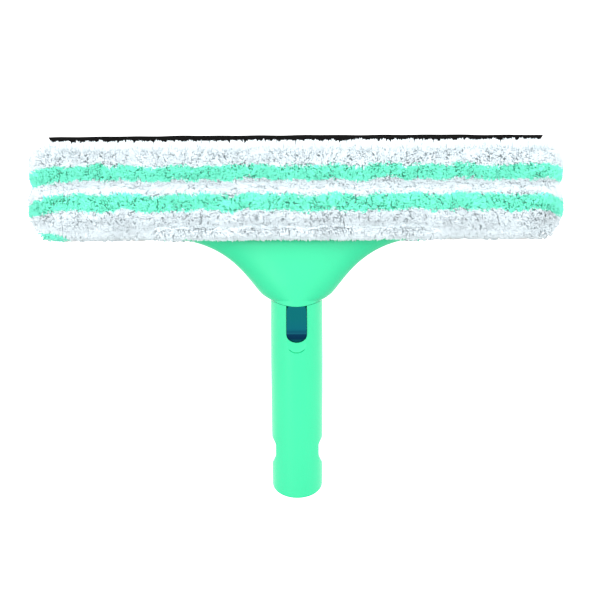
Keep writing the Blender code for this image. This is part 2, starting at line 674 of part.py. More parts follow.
def frame_section(margin=0.0):
    """The head frame's outline: a round bar, a web and a holder with a T-slot for the blade's channel."""
    meet = math.degrees(math.asin(WEB_HALF / BAR_RADIUS))
    bar = arc((0, BAR_Z), (BAR_RADIUS, BAR_RADIUS), -90, 90 - meet, 18)
    slot = CHANNEL_HALF + GAP
    groove = FOOT_HALF + GAP
    groove_top = SLOT_FLOOR_Z + FOOT_HEIGHT + 2 * GAP
    right = bar + [
        (WEB_HALF, HOLDER_Z - 2.0),
        (WEB_HALF + 2.0, HOLDER_Z - 0.4),
        (HOLDER_HALF - 1.0, HOLDER_Z),
        (HOLDER_HALF, HOLDER_Z + 1.0),
        (HOLDER_HALF, HOLDER_TOP_Z - 1.0),
        (HOLDER_HALF - 1.0, HOLDER_TOP_Z),
        (slot, HOLDER_TOP_Z),
        (slot, groove_top),
        (groove, groove_top),
        (groove, SLOT_FLOOR_Z),
    ]
    return right + [(-y, z) for y, z in reversed(right[1:])]


def make_frame():
    half = FRAME_LENGTH / 2
    bore = circle((0, BAR_Z), BAR_RADIUS - BAR_WALL, 28)
    port = circle((0, PORT_Z), PORT_RADIUS, 16)
    frame = plate("head_frame", [frame_section(), bore, port], "YZ", -half, half, TURQUOISE)
    low = NECK_TOP_Z - TAB_HEIGHT
    wide_z = low + 12.0
    foot = flare_width(low) - NECK_WALL - TAB_MARGIN
    right = [(foot, low), (TAB_HALF_WIDTH, wide_z), (TAB_HALF_WIDTH, BAR_Z - BAR_RADIUS + BAR_WALL / 2)]
    tab = plate("frame_tab", [mirrored(right)], "XZ", -TAB_HALF_DEPTH, TAB_HALF_DEPTH)
    join(frame, tab)
    bolt = POST_NOSE_RADIUS + GAP
    for side in (-1, 1):
        x = side * POST_SPREAD
        cut(frame, rod(f"tab_hole_{side}", (x, -10, POST_Z), (x, 10, POST_Z), bolt, sides=24))
    return frame


def flare_width(z):
    """Half the neck's width at a height, found by halving the curve's parameter."""
    low, high = 0.0, 1.0
    for _ in range(30):
        middle = (low + high) / 2
        if flare(middle, 0).y < z:
            low = middle
        else:
            high = middle
    return flare(low, 0).x


def make_end_caps():
    meet = math.degrees(math.asin(WEB_HALF / BAR_RADIUS))
    top = HOLDER_TOP_Z - GAP
    right = arc((0, BAR_Z), (BAR_RADIUS, BAR_RADIUS), -90, 90 - 2 * meet, 18)
    right += [(HOLDER_HALF, HOLDER_Z), (HOLDER_HALF, top - 1.5), (HOLDER_HALF - 1.5, top)]
    outline = right + [(-y, z) for y, z in reversed(right[1:])]
    for name, side in (("end_cap_left", -1), ("end_cap_right", 1)):
        inner = side * (FRAME_LENGTH / 2 + GAP)
        outer = side * CAP_END_X
        cap = plate(name, [outline], "YZ", inner, outer, TURQUOISE)
        plug_start = (side * (FRAME_LENGTH / 2 - PLUG_LENGTH), 0, BAR_Z)
        plug_radius = BAR_RADIUS - BAR_WALL - GAP
        join(cap, rod(name + "_plug", plug_start, (inner + side, 0, BAR_Z), plug_radius, sides=28))
        head_x = outer - side * 3.0
        hole = CAP_SCREW_RADIUS + GAP
        cut(cap, rod(name + "_hole", (inner - side, 0, PORT_Z), (outer, 0, PORT_Z), hole, sides=16))
        seat_ends = ((head_x, 0, PORT_Z), (outer + side, 0, PORT_Z))
        cut(cap, rod(name + "_seat", *seat_ends, SCREW_HEAD_RADIUS + GAP, sides=24))
        make_cap_screw(name.replace("cap", "cap_screw"), side, head_x + side * GAP)


def make_cap_screw(name, side, head_x):
    tip = head_x - side * CAP_SCREW_LENGTH
    screw = rod(name, (tip, 0, PORT_Z), (head_x + side * 0.5, 0, PORT_Z), CAP_SCREW_RADIUS, STEEL, sides=16)
    end = head_x + side * SCREW_HEAD_HEIGHT
    join(screw, rod(name + "_head", (head_x, 0, PORT_Z), (end, 0, PORT_Z), SCREW_HEAD_RADIUS, sides=24))
    near, far = sorted((end - side * 0.9, end + side))
    cut(screw, box(name + "_slot", (near, -0.4, PORT_Z - 4), (far, 0.4, PORT_Z + 4)))


def make_channel():
    """A C-shaped rail that grips the blade's bead, on a foot that slides in the frame's groove."""
    half = FRAME_LENGTH / 2 - GAP
    mouth = BLADE_NECK_HALF + GAP
    bore = BEAD_RADIUS + GAP
    meet = math.degrees(math.asin(mouth / bore))
    foot_top = CHANNEL_Z + FOOT_HEIGHT
    right = [(FOOT_HALF, CHANNEL_Z), (FOOT_HALF, foot_top), (CHANNEL_HALF, foot_top)]
    right += [(CHANNEL_HALF, CHANNEL_TOP_Z), (mouth, CHANNEL_TOP_Z)]
    right += arc((0, BEAD_Z), (bore, bore), 90 - meet, -90, 14)
    outline = right + [(-y, z) for y, z in reversed(right[:-1])]
    return plate("blade_channel", [outline], "YZ", -half, half, ALUMINIUM)


def make_blade():
    """Rubber: a round bead in the channel, a waist, a body and a thin square lip, its ends cut on a slant."""
    meet = math.degrees(math.asin(BLADE_NECK_HALF / BEAD_RADIUS))
    body_z = CHANNEL_TOP_Z + 1.5
    right = arc((0, BEAD_Z), (BEAD_RADIUS, BEAD_RADIUS), -90, 90 - meet, 14)
    right += [
        (BLADE_NECK_HALF, CHANNEL_TOP_Z + GAP),
        (BLADE_BODY_HALF, body_z),
        (BLADE_BODY_HALF, body_z + 1.2),
        (LIP_HALF, body_z + 4.5),
        (LIP_HALF, LIP_Z),
    ]
    outline = right + [(-y, z) for y, z in reversed(right[1:])]
    half = BLADE_LENGTH / 2
    blade = plate("squeegee_blade", [outline], "YZ", -half, half, RUBBER)
    drop = BLADE_HEIGHT + THROUGH
    for side in (-1, 1):
        lean = [
            (side * half, LIP_Z),
            (side * (half - BLADE_END_SLOPE * drop), LIP_Z - drop),
            (side * (half + THROUGH), LIP_Z - drop),
            (side * (half + THROUGH), LIP_Z + 1),
            (side * (half + BLADE_END_SLOPE), LIP_Z + 1),
        ]
        cut(blade, plate(f"blade_end_{side}", [lean], "XZ", -THROUGH, THROUGH))
    return blade


# ---------------------------------------------------------------- fleece sleeve


def cover_section():
    """The front half of the sleeve, from top to bottom: two swollen lobes with a crease between them."""
    centre = COVER_CENTRE_Y
    seam = -GAP / 2
    upper = arc((-centre, UPPER_LOBE_Z), UPPER_LOBE, 90, 270, 26)
    lower = arc((-centre, LOWER_LOBE_Z), LOWER_LOBE, 90, 270, 26)

    def outside(point, lobe_z, lobe):
        return ((point[0] + centre) / lobe[0]) ** 2 + ((point[1] - lobe_z) / lobe[1]) ** 2 > 1

    points = [p for p in upper if outside(p, LOWER_LOBE_Z, LOWER_LOBE)]
    points += [p for p in lower if outside(p, UPPER_LOBE_Z, UPPER_LOBE)]
    return [(seam, COVER_TOP_Z)] + points + [(seam, COVER_LOW_Z)]


def cover_outline():
    """The sleeve in front view: round top corners, and ends that lean inwards low down."""
    end = COVER_HALF_LENGTH
    low_end = end - COVER_TAPER
    low = COVER_LOW_CORNER
    top = COVER_TOP_CORNER
    right = arc((low_end - low, COVER_LOW_Z + low), (low, low), -90, -15, 5)
    right += [(end, LOWER_LOBE_Z + 8.0)]
    right += arc((end - top, COVER_TOP_Z - top), (top, top), 0, 90, 8)
    return mirrored(right)


def cover_hollow():
    """Room for the bar, the holder, the bindings, the blade's slit, the flaps and the neck."""
    end = INNER_END_X
    clear = COVER_CLEARANCE
    binding = HOLDER_HALF + BINDING_THICKNESS + 2 * GAP
    binding_low = HOLDER_TOP_Z + 1.5 - BINDING_WIDTH
    web_room = HOLDER_HALF + clear
    groove_end = FLAP_END + GAP
    return [
        rod("bar_room", (-end, 0, BAR_Z), (end, 0, BAR_Z), BAR_RADIUS + clear, sides=36),
        box("holder_room", (-end, -web_room, BAR_Z), (end, web_room, HOLDER_TOP_Z + clear)),
        box(
            "binding_room",
            (-FRAME_LENGTH / 2 - GAP, -binding, binding_low - GAP),
            (FRAME_LENGTH / 2 + GAP, binding, HOLDER_TOP_Z + 1.5 + GAP),
        ),
        box("slit", (-end, -SLIT_HALF, HOLDER_TOP_Z - 1), (end, SLIT_HALF, COVER_TOP_Z + THROUGH)),
        box("groove", (-groove_end, -GROOVE_HALF, COVER_LOW_Z - THROUGH), (groove_end, GROOVE_HALF, BAR_Z)),
        neck_body("neck_room", -COVER_CLEARANCE, HANDLE_RADIUS + clear, NECK_Z, NECK_TOP_Z + 1.0),
    ]


def make_cover():
    outline = plate("cover_outline", [cover_outline()], "XZ", -60, 60)
    depth = COVER_CENTRE_Y + LOWER_LOBE[0]
    corner = COVER_PLAN_CORNER
    end = COVER_HALF_LENGTH
    turn = arc((end - corner, depth - corner), (corner, corner), 0, 90, 8)
    right = [(x, -y) for x, y in reversed(turn)] + turn
    plan = plate("cover_plan", [mirrored(right)], "XY", COVER_LOW_Z - 10, COVER_TOP_Z + 10)
    hollow = cover_hollow()
    section = cover_section()
    for name, side in (("cover_front_panel", 1), ("cover_rear_panel", -1)):
        loop = [(side * y, z) for y, z in section]
        panel = plate(name, [loop], "YZ", -end - 1, end + 1, FLEECE)
        keep(panel, outline, plan)
        cut(panel, *hollow)


def make_bindings():
    half = FRAME_LENGTH / 2
    near = HOLDER_HALF + GAP
    top = HOLDER_TOP_Z + 1.5
    for name, side in (("top_binding_front", -1), ("top_binding_rear", 1)):
        low_y, high_y = sorted((side * near, side * (near + BINDING_THICKNESS)))
        box(name, (-half, low_y, top - BINDING_WIDTH), (half, high_y, top), WEBBING)


def make_flaps():
    """Four flaps under the bar, each pair closed by two press studs."""
    outer_z, inner_z = (BAR_Z - BAR_RADIUS - drop for drop in FLAP_DROPS)
    edge = GROOVE_HALF - GAP
    for hand, side in (("left", -1), ("right", 1)):
        low_x, high_x = sorted((side * FLAP_START, side * FLAP_END))
        outer_top = outer_z + FLAP_THICKNESS
        inner_top = inner_z + FLAP_THICKNESS
        rear = box(f"rear_flap_{hand}", (low_x, -FLAP_REACH, outer_z), (high_x, edge, outer_top), WEBBING)
        front = box(f"front_flap_{hand}", (low_x, -edge, inner_z), (high_x, FLAP_REACH, inner_top), WEBBING)
        for number, place_x in enumerate(STUD_PLACES, 1):
            x = side * place_x
            ends = ((x, 0, outer_z - THROUGH), (x, 0, inner_z + THROUGH))
            hole = rod(f"stud_hole_{hand}_{number}", *ends, STUD_POST_RADIUS + GAP, sides=20)
            cut(rear, hole)
            cut(front, hole)
            make_stud(f"{hand}_{number}", x, outer_z, inner_z)


def make_stud(name, x, outer_z, inner_z):
    """A cap with a cup, riveted through the outer flap, and a disc with a ball through the inner one."""
    flap_top = outer_z + FLAP_THICKNESS + GAP
    cap_top = outer_z - GAP
    ball = STUD_BALL_RADIUS
    cup_bore = ball + GAP
    cup_top = flap_top + 1.7
    cup = [
        (0, flap_top + GAP),
        (cup_bore, flap_top + GAP),
        (cup_bore, cup_top),
        (STUD_CUP_RADIUS - 0.5, cup_top),
        (STUD_CUP_RADIUS, cup_top - 0.5),
        (STUD_CUP_RADIUS, flap_top),
        (STUD_POST_RADIUS, flap_top),
        (STUD_POST_RADIUS, cap_top),
        (STUD_CAP_RADIUS, cap_top),
        (STUD_CAP_RADIUS, cap_top - 0.3),
        (STUD_CAP_RADIUS - 1.2, cap_top - STUD_CAP_THICKNESS),
        (0, cap_top - STUD_CAP_THICKNESS),
    ]
    turned("stud_cap_" + name, cup, (x, 0, 0), STEEL, 16)
    disc_low = inner_z + FLAP_THICKNESS + GAP
    disc_top = disc_low + STUD_CAP_THICKNESS - 0.1
    ball_z = flap_top + 2 * GAP + ball
    neck = ball * 0.75
    meet = math.degrees(math.acos(neck / ball))
    rounded = arc((0, ball_z), (ball, ball), meet, -90, 4)
    disc_edge = STUD_CAP_RADIUS - 1.0
    stud = [(0, disc_top), (disc_edge - 0.2, disc_top), (disc_edge, disc_low), (neck, disc_low)]
    turned("stud_ball_" + name, stud + rounded, (x, 0, 0), STEEL, 16)


make_handle()
make_latch_block()
make_lever()
pin_ends = ((-PIN_LENGTH / 2, PIVOT_Y, PIVOT_Z), (PIN_LENGTH / 2, PIVOT_Y, PIVOT_Z))
rod("lever_pin", *pin_ends, PIN_RADIUS, STEEL, sides=20)
make_spring()
front_shell, rear_shell = make_neck()
finish_front_shell(front_shell)
finish_rear_shell(rear_shell)
make_neck_screws()
make_frame()
make_end_caps()
make_channel()
make_blade()
make_cover()
make_bindings()
make_flaps()
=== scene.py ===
"""Looks of the window cleaning squeegee: moulded plastic, a rubber blade and a deep fleece sleeve.

Lengths are millimetres until a mesh is made. X runs along the blade, -Y is the front and +Z is up.
"""

import json
import math

import bmesh
import bpy
import numpy as np
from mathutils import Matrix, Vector


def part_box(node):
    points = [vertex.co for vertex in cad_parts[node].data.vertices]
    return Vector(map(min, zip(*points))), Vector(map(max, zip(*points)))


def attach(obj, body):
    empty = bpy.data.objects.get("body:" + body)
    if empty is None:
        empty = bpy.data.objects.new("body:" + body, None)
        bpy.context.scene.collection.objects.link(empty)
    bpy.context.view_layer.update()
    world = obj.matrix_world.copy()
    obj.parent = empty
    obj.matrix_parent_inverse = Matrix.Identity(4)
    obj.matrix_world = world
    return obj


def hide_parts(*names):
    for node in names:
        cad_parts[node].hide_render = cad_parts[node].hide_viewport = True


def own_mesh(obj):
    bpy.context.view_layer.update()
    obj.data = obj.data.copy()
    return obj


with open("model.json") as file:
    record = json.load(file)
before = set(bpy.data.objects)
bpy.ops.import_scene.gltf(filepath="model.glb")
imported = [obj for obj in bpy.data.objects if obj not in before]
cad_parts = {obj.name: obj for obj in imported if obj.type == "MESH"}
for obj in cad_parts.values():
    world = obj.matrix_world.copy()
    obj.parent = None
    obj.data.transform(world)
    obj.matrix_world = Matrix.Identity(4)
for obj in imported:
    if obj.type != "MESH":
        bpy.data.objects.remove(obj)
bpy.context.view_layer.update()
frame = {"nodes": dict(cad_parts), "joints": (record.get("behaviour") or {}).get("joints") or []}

MM = 0.001
GAP = 0.3  # left between two pieces that touch


def corners(node):
    """A CAD node's lowest and highest corner in millimetres."""
    low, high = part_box(node)
    return np.array(low) / MM, np.array(high) / MM


HANDLE_HIGH = corners("handle_tube")[1]
NECK_LOW, NECK_HIGH = corners("neck_front_shell")
LEVER_LOW, LEVER_HIGH = corners("release_lever")
BLADE_LOW, BLADE_HIGH = corners("squeegee_blade")
CHANNEL_HIGH = corners("blade_channel")[1]
COVER_LOW, COVER_HIGH = corners("cover_front_panel")
CAP_HIGH = corners("end_cap_right")[1]

# Handle
RADIUS = HANDLE_HIGH[0]
END_RADIUS = RADIUS - 0.8
TAPER = 90.0  # height over which it narrows to the end's radius
BORE = 12.0
END_SLOPE = math.tan(math.radians(28.6))
WAIST_Z = 31.5
WAIST_FLAT = 3.7  # half the height of the waist's straight part
WAIST_REACH = 11.6  # half the height of the whole waist
WAIST_X = END_RADIUS - 2.2
RIM = 0.7  # rounding of the open end
SLANT_TOP = 20.0  # rows below this height follow the open end
RECESS_ROWS = 94.0  # rows are closer together from here up to the slot
SPIGOT_RADIUS = 14.2
SPIGOT_TOP = HANDLE_HIGH[2]

# Neck
NECK_Z = NECK_LOW[2]  # lowest point of its lower edge
EDGE_RISE = 4.8  # the edge climbs this much from front to side
NECK_TOP = NECK_HIGH[2]
NECK_HALF = NECK_HIGH[0] - 0.5
FLARE_Z = NECK_Z + 4.0
WING_Z = NECK_TOP - 5.1
FLARE_START = (13.3, 6.0)  # reach of the side curve's handle at each end
FLARE_END = (-52.6, -1.25)
NECK_TOP_DEPTH = 12.5
DEPTH_START = FLARE_Z + 8.0
NECK_WALL = 2.8
NECK_SPLIT = 0.12  # half the gap between the two shells
SEATS = ((-28.0, NECK_TOP - 15.7, 6.8), (28.0, NECK_TOP - 15.7, 6.8), (0.0, NECK_Z + 13.0, 15.7))
SEAT_RADIUS = 3.1

# Release lever and its slot
LEVER_HALF = LEVER_HIGH[0]
LEVER_FACE = LEVER_LOW[1]
LEVER_BACK = 0.2 - BORE - 0.4
LEVER_FOOT = NECK_Z + 0.1 - 23.5
LEVER_TOP = NECK_Z + 0.1
LEVER_END = 5.0  # depth of its round lower end
PIVOT_Y, PIVOT_Z = (part / MM for part in frame["joints"][0]["pos_m"][1:])
LEVER_ARC = math.hypot(LEVER_FACE - PIVOT_Y, LEVER_TOP - PIVOT_Z)
RIDGE_Z = LEVER_FOOT + 6.2
SLOT_HALF = LEVER_HALF + 0.15
SLOT_CENTRE = LEVER_FOOT + LEVER_END
RECESS_Y = -RADIUS - 1.2
RECESS_Z = LEVER_FOOT + 0.7
RECESS_HALF = 7.5  # half the thumb recess's width
RECESS_RISE = 8.0  # half its height
RECESS_DEPTH = 3.01

# Fleece sleeve
PILE = 6.2  # length of the fleece's pile
LOBE_Y = 6.0
UPPER_Z = COVER_HIGH[2] - 18.0
LOWER_Z = COVER_LOW[2] + 20.0
UPPER_PAD = (9.0, 14.0)  # how far a lobe stands out, and half its height
LOWER_PAD = (10.0, 16.6)
CREASE_Z = UPPER_Z - 12.0
CREASE_Y = 4.2
PAD_TOP = UPPER_Z + UPPER_PAD[1]
PAD_LOW = LOWER_Z - LOWER_PAD[1]
PAD_INNER = 9.4
PAD_END = COVER_HIGH[0] - PILE + 0.4
PAD_EDGE = 2.8  # thickness at the sleeve's upper and lower edge
PLAN_CORNER = 12.0
TOP_CORNER = 10.0
LOW_TAPER = 7.0
TAPE_Z = corners("top_binding_front")[0][2]
STRIPES = ((UPPER_Z - 8.2, UPPER_Z + 1.8), (LOWER_Z + 0.4, LOWER_Z + 10.4))
STRIPE_BEND = (2.0, 5.5)  # how far each stripe drops at the right end
BEND_X = 148.0  # where the stripes start to drop
BEND_REACH = 28.0


# -------------------------------- mesh making


def put(name, data):
    """A new object in the scene."""
    made = bpy.data.objects.new(name, data)
    bpy.context.scene.collection.objects.link(made)
    return made


def smooth(mesh, angle=35.0):
    """Smooth shading, but for edges sharper than an angle in degrees."""
    mesh.shade_smooth()
    mesh.set_sharp_from_angle(angle=math.radians(angle))


def build(name, points, faces, body):
    """Put points (n, 3) in millimetres and equal-sided faces (m, k) into a mesh that rides on a body."""
    mesh = bpy.data.meshes.new(name)
    mesh.vertices.add(len(points))
    mesh.vertices.foreach_set("co", np.asarray(points * MM, np.float32).ravel())
    mesh.loops.add(faces.size)
    mesh.loops.foreach_set("vertex_index", faces.astype(np.int32).ravel())
    mesh.polygons.add(len(faces))
    mesh.polygons.foreach_set("loop_start", np.arange(0, faces.size, faces.shape[1], dtype=np.int32))
    mesh.update(calc_edges=True)
    piece = put(name, mesh)
    if body:
        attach(piece, body)
    return piece


def grid_faces(rows, columns, wrap):
    """Quads between the neighbours of a grid of rows and columns, joined end to start where it wraps."""
    across = columns if wrap else columns - 1
    row, column = np.meshgrid(np.arange(rows - 1), np.arange(across), indexing="ij")
    here = row * columns + column
    beside = row * columns + (column + 1) % columns
    return np.stack([here, beside, beside + columns, here + columns], -1).reshape(-1, 4)


def shell(name, patches, body, smooth_angle=35.0):
    """One closed mesh from grids (rows, columns, 3), their shared edges merged and faces turned outwards."""
    points = []
    faces = []
    start = 0
    for patch, wrap in patches:
        rows, columns = patch.shape[:2]
        points.append(patch.reshape(-1, 3))
        faces.append(grid_faces(rows, columns, wrap) + start)
        start += rows * columns
    piece = build(name, np.concatenate(points), np.concatenate(faces), body)
    work = bmesh.new()
    work.from_mesh(piece.data)
    bmesh.ops.remove_doubles(work, verts=work.verts, dist=0.004 * MM)
    bmesh.ops.dissolve_degenerate(work, edges=work.edges, dist=0.0005 * MM)
    bmesh.ops.recalc_face_normals(work, faces=work.faces)
    work.to_mesh(piece.data)
    work.free()
    smooth(piece.data, smooth_angle)
    return piece


def read(items, key, kind=np.float32):
    """Three numbers of each of a mesh's items, as rows of an array."""
    values = np.zeros(len(items) * 3, kind)
    items.foreach_get(key, values)
    return values.reshape(-1, 3)


def settle(piece):
    """Work a piece's modifiers into its mesh."""
    bpy.context.view_layer.update()
    result = bpy.data.meshes.new_from_object(piece.evaluated_get(bpy.context.evaluated_depsgraph_get()))
    piece.modifiers.clear()
    piece.data = result


def turned(profile, centre, axis, steps=48):
    """A grid from (radius, height) points turned about an axis through centre, named by its index."""
    angle = np.linspace(0, 2 * np.pi, steps, endpoint=False)
    radius, height = np.array(profile, float).T
    patch = np.zeros((len(radius), steps, 3))
    first, second = [other for other in range(3) if other != axis]
    patch[..., first] = centre[first] + radius[:, None] * np.cos(angle)
    patch[..., second] = centre[second] + radius[:, None] * np.sin(angle)
    patch[..., axis] = centre[axis] + height[:, None]
    return patch


def bar(outline, low, high, steps, rounding=0.3):
    """Patches of a bar: a closed (y, z) outline carried along X, shrunk a little and capped at its ends."""
    outline = np.array(outline, float)
    middle = outline.mean(0)
    size = np.abs(outline - middle).max()
    x = np.concatenate([[low, low], np.linspace(low + rounding, high - rounding, steps), [high, high]])
    shrink = np.ones(len(x))
    shrink[[0, -1]] = 0.0
    shrink[[1, -2]] = 1 - rounding / size
    patch = np.zeros((len(x), len(outline), 3))
    patch[..., 0] = x[:, None]
    patch[..., 1:] = middle + (outline - middle) * shrink[:, None, None]
    return [(patch, True)]


def capped(grid):
    """A grid of rings with a row at each end that closes it to the ring's middle."""
    first, last = (np.broadcast_to(grid[row].mean(0), grid[row].shape)[None] for row in (0, -1))
    return np.concatenate([first, grid, last])


def smooth_step(value, start, end):
    """0 before start, 1 after end, and an S-shaped cubic between them."""
    share = np.clip((value - start) / (end - start), 0, 1)
    return share * share * (3 - 2 * share)


def soft_lower(first, second, blend):
    """The lower of two arrays, with the corner between them rounded."""
    return -blend * np.logaddexp(-first / blend, -second / blend)


# -------------------------------- materials


def paint(name, colour, roughness, **sockets):
    """A Principled material with constants on its own sockets, and its node tree for what varies."""
    made = bpy.data.materials.new(name)
    made.use_nodes = True
    tree = made.node_tree
    shader = tree.nodes["Principled BSDF"]
    shader.inputs["Base Color"].default_value = (*colour, 1)
    shader.inputs["Roughness"].default_value = roughness
    for socket, value in sockets.items():
        shader.inputs[socket.replace("_", " ")].default_value = value
    return made, tree, shader


def mapped(tree, socket, value):
    """The piece's own coordinates, scaled or turned by a mapping's socket."""
    place = tree.nodes.new("ShaderNodeTexCoord")
    mapping = tree.nodes.new("ShaderNodeMapping")
    mapping.inputs[socket].default_value = value
    tree.links.new(place.outputs["Object"], mapping.inputs["Vector"])
    return mapping.outputs["Vector"]


def height_of(tree, source):
    """The Z part of a place or a direction."""
    place = tree.nodes.new("ShaderNodeTexCoord")
    parts = tree.nodes.new("ShaderNodeSeparateXYZ")
    tree.links.new(place.outputs[source], parts.inputs["Vector"])
    return parts.outputs["Z"]


def noise(tree, scale, detail, stretch=(1, 1, 1)):
    """Noise on the piece's own coordinates, in features per metre, with a stretch along each axis."""
    made = tree.nodes.new("ShaderNodeTexNoise")
    made.inputs["Scale"].default_value = scale
    made.inputs["Detail"].default_value = detail
    tree.links.new(mapped(tree, "Scale", stretch), made.inputs["Vector"])
    return made.outputs["Fac"]


def spread(tree, value, low, high, to_low, to_high):
    """A value's range from low to high, carried to another range."""
    made = tree.nodes.new("ShaderNodeMapRange")
    settings = {"From Min": low, "From Max": high, "To Min": to_low, "To Max": to_high}
    for socket, number in settings.items():
        made.inputs[socket].default_value = number
    tree.links.new(value, made.inputs["Value"])
    return made.outputs["Result"]


def tint(tree, value, first, second):
    """A colour that runs from first to second as the value runs from 0 to 1."""
    made = tree.nodes.new("ShaderNodeMix")
    made.data_type = "RGBA"
    made.inputs["A"].default_value = (*first, 1)
    made.inputs["B"].default_value = (*second, 1)
    tree.links.new(value, made.inputs["Factor"])
    return made.outputs["Result"]


def emboss(tree, shader, height, strength, distance):
    """Bump from a height, its depth in metres."""
    made = tree.nodes.new("ShaderNodeBump")
    made.inputs["Strength"].default_value = strength
    made.inputs["Distance"].default_value = distance
    tree.links.new(height, made.inputs["Height"])
    tree.links.new(made.outputs["Normal"], shader.inputs["Normal"])


def moulded(name, colour, shade, roughness, grain=1400.0, depth=0.00003, **sockets):
    """Moulded plastic: a fine grain, a slow drift of colour and a gloss that is uneven where hands rub it."""
    made, tree, shader = paint(name, colour, roughness, **sockets)
    drift = spread(tree, noise(tree, 22, 4), 0.35, 0.7, 0, 1)
    tree.links.new(tint(tree, drift, colour, shade), shader.inputs["Base Color"])
    rubbed = spread(tree, noise(tree, 160, 5, (1, 1, 0.25)), 0.3, 0.75, roughness - 0.05, roughness + 0.08)
    tree.links.new(rubbed, shader.inputs["Roughness"])
    emboss(tree, shader, noise(tree, grain, 2), 0.35, depth)
    return made


def painted_shade_by_height(made, bands):
    """Paint light and shade into a material by height: each band gives a height in millimetres and the colour
    there.
    """
    tree = made.node_tree
    ramp = tree.nodes.new("ShaderNodeValToRGB")
    low, high = bands[0][0] - 1, bands[-1][0] + 1
    share = spread(tree, height_of(tree, "Object"), low * MM, high * MM, 0, 1)
    tree.links.new(share, ramp.inputs["Fac"])
    points = ramp.color_ramp.elements
    while len(points) < len(bands):
        points.new(0.5)
    for point, (height, colour) in zip(points, bands):
        point.position = (height - low) / (high - low)
        point.color = (*colour, 1)
    shader = tree.nodes["Principled BSDF"]
    tree.links.new(ramp.outputs["Color"], shader.inputs["Base Color"])


def brushed(name, colour, roughness, stretch):
    """Metal with fine drawn lines along the axis whose stretch is small."""
    made, tree, shader = paint(name, colour, roughness, Metallic=1.0)
    lines = noise(tree, 900, 4, stretch)
    gloss = spread(tree, lines, 0.3, 0.7, roughness - 0.1, roughness + 0.15)
    tree.links.new(gloss, shader.inputs["Roughness"])
    worn = tuple(part * 0.82 for part in colour)
    shading = tint(tree, spread(tree, lines, 0.35, 0.65, 0, 1), worn, colour)
    tree.links.new(shading, shader.inputs["Base Color"])
    emboss(tree, shader, lines, 0.2, 0.00002)
    return made


def woven(name, colour, shade, pitch):
    """Plain weave: two sets of ribs across each other, with slubs."""
    made, tree, shader = paint(name, colour, 0.85, Sheen_Weight=0.25, Sheen_Roughness=0.5)
    ribs = []
    for turn in (0.0, math.pi / 2):
        wave = tree.nodes.new("ShaderNodeTexWave")
        wave.inputs["Scale"].default_value = 0.31 / pitch
        wave.inputs["Distortion"].default_value = 0.6
        tree.links.new(mapped(tree, "Rotation", (0, 0, turn)), wave.inputs["Vector"])
        ribs.append(wave.outputs["Fac"])
    both = tree.nodes.new("ShaderNodeMath")
    both.operation = "MULTIPLY"
    tree.links.new(ribs[0], both.inputs[0])
    tree.links.new(ribs[1], both.inputs[1])
    tree.links.new(tint(tree, both.outputs[0], shade, colour), shader.inputs["Base Color"])
    emboss(tree, shader, both.outputs[0], 0.6, pitch * 0.3)
    return made


def fleece(name, root, tip):
    """Fibres with painted shade that darkens them towards the root, as deep in the pile, paler at the tip,
    and a little uneven from tuft to tuft.
    """
    made, tree, shader = paint(name, tip, 0.85, Specular_IOR_Level=0.1)
    along = tree.nodes.new("ShaderNodeAttribute")
    along.attribute_name = "along"
    # Painted shade: the colour runs from the darker root colour at the root to the tip colour, standing in
    # for the shade deep in the pile.
    painted_depth_shade = tint(tree, spread(tree, along.outputs["Fac"], 0.0, 0.55, 0, 1), root, tip)
    uneven = spread(tree, noise(tree, 260, 2), 0.3, 0.7, 0.9, 1.04)
    drift = tree.nodes.new("ShaderNodeVectorMath")
    drift.operation = "SCALE"
    tree.links.new(painted_depth_shade, drift.inputs[0])
    tree.links.new(uneven, drift.inputs["Scale"])
    tree.links.new(drift.outputs[0], shader.inputs["Base Color"])
    return made


turquoise_plastic = moulded(
    "turquoise_plastic", (0.0165, 0.53, 0.25), (0.0145, 0.515, 0.24), 0.34, Specular_IOR_Level=0.45
)
teal_plastic = moulded(
    "teal_plastic", (0.0005, 0.105, 0.125), (0.0004, 0.09, 0.11), 0.5, Specular_IOR_Level=0.04
)
# Painted shade and highlight on the lever by height: the round lower end and the slope below the ridge are
# painted dark as shade, a pale line at the ridge is a painted highlight, and a dark line just above it is
# painted shade.
painted_shade_by_height(
    teal_plastic,
    (
        (LEVER_FOOT + 0.8, (0.0004, 0.075, 0.085)),
        (LEVER_FOOT + 2.2, (0.0002, 0.022, 0.055)),
        (RIDGE_Z - 1.2, (0.0002, 0.026, 0.065)),
        (RIDGE_Z - 0.2, (0.004, 0.085, 0.125)),
        (RIDGE_Z + 0.5, (0.0005, 0.050, 0.085)),
        (RIDGE_Z + 2.6, (0.0005, 0.088, 0.115)),
        (LEVER_TOP - 8.0, (0.0003, 0.095, 0.105)),
    ),
)
white_plastic = moulded("white_plastic", (0.80, 0.82, 0.82), (0.76, 0.78, 0.78), 0.45)
black_rubber = moulded(
    "black_rubber", (0.004, 0.0038, 0.0038), (0.006, 0.0056, 0.0056), 0.55, 700.0, Specular_IOR_Level=0.04
)
aluminium = brushed("aluminium_rail", (0.78, 0.79, 0.80), 0.35, (0.02, 1, 1))
steel = brushed("steel_fasteners", (0.66, 0.66, 0.65), 0.28, (1, 1, 1))
cover_fabric = woven("cover_fabric", (0.90, 0.95, 0.96), (0.80, 0.87, 0.88), 0.0006)
# Each pile's first colour is its tip colour darkened, painted shade for the depth of the pile.
white_pile = fleece("white_pile", (0.79, 0.89, 0.93), (0.82, 0.915, 0.955))
turquoise_pile = fleece("turquoise_pile", (0.18, 0.96, 0.65), (0.22, 0.99, 0.72))


def finish(piece, material, slot, *nodes):
    """Give a piece its material and let it stand for CAD nodes; the slot argument is not used."""
    piece.data.materials.clear()
    piece.data.materials.append(material)
    if nodes:
        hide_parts(*nodes)
    return piece


# -------------------------------- handle


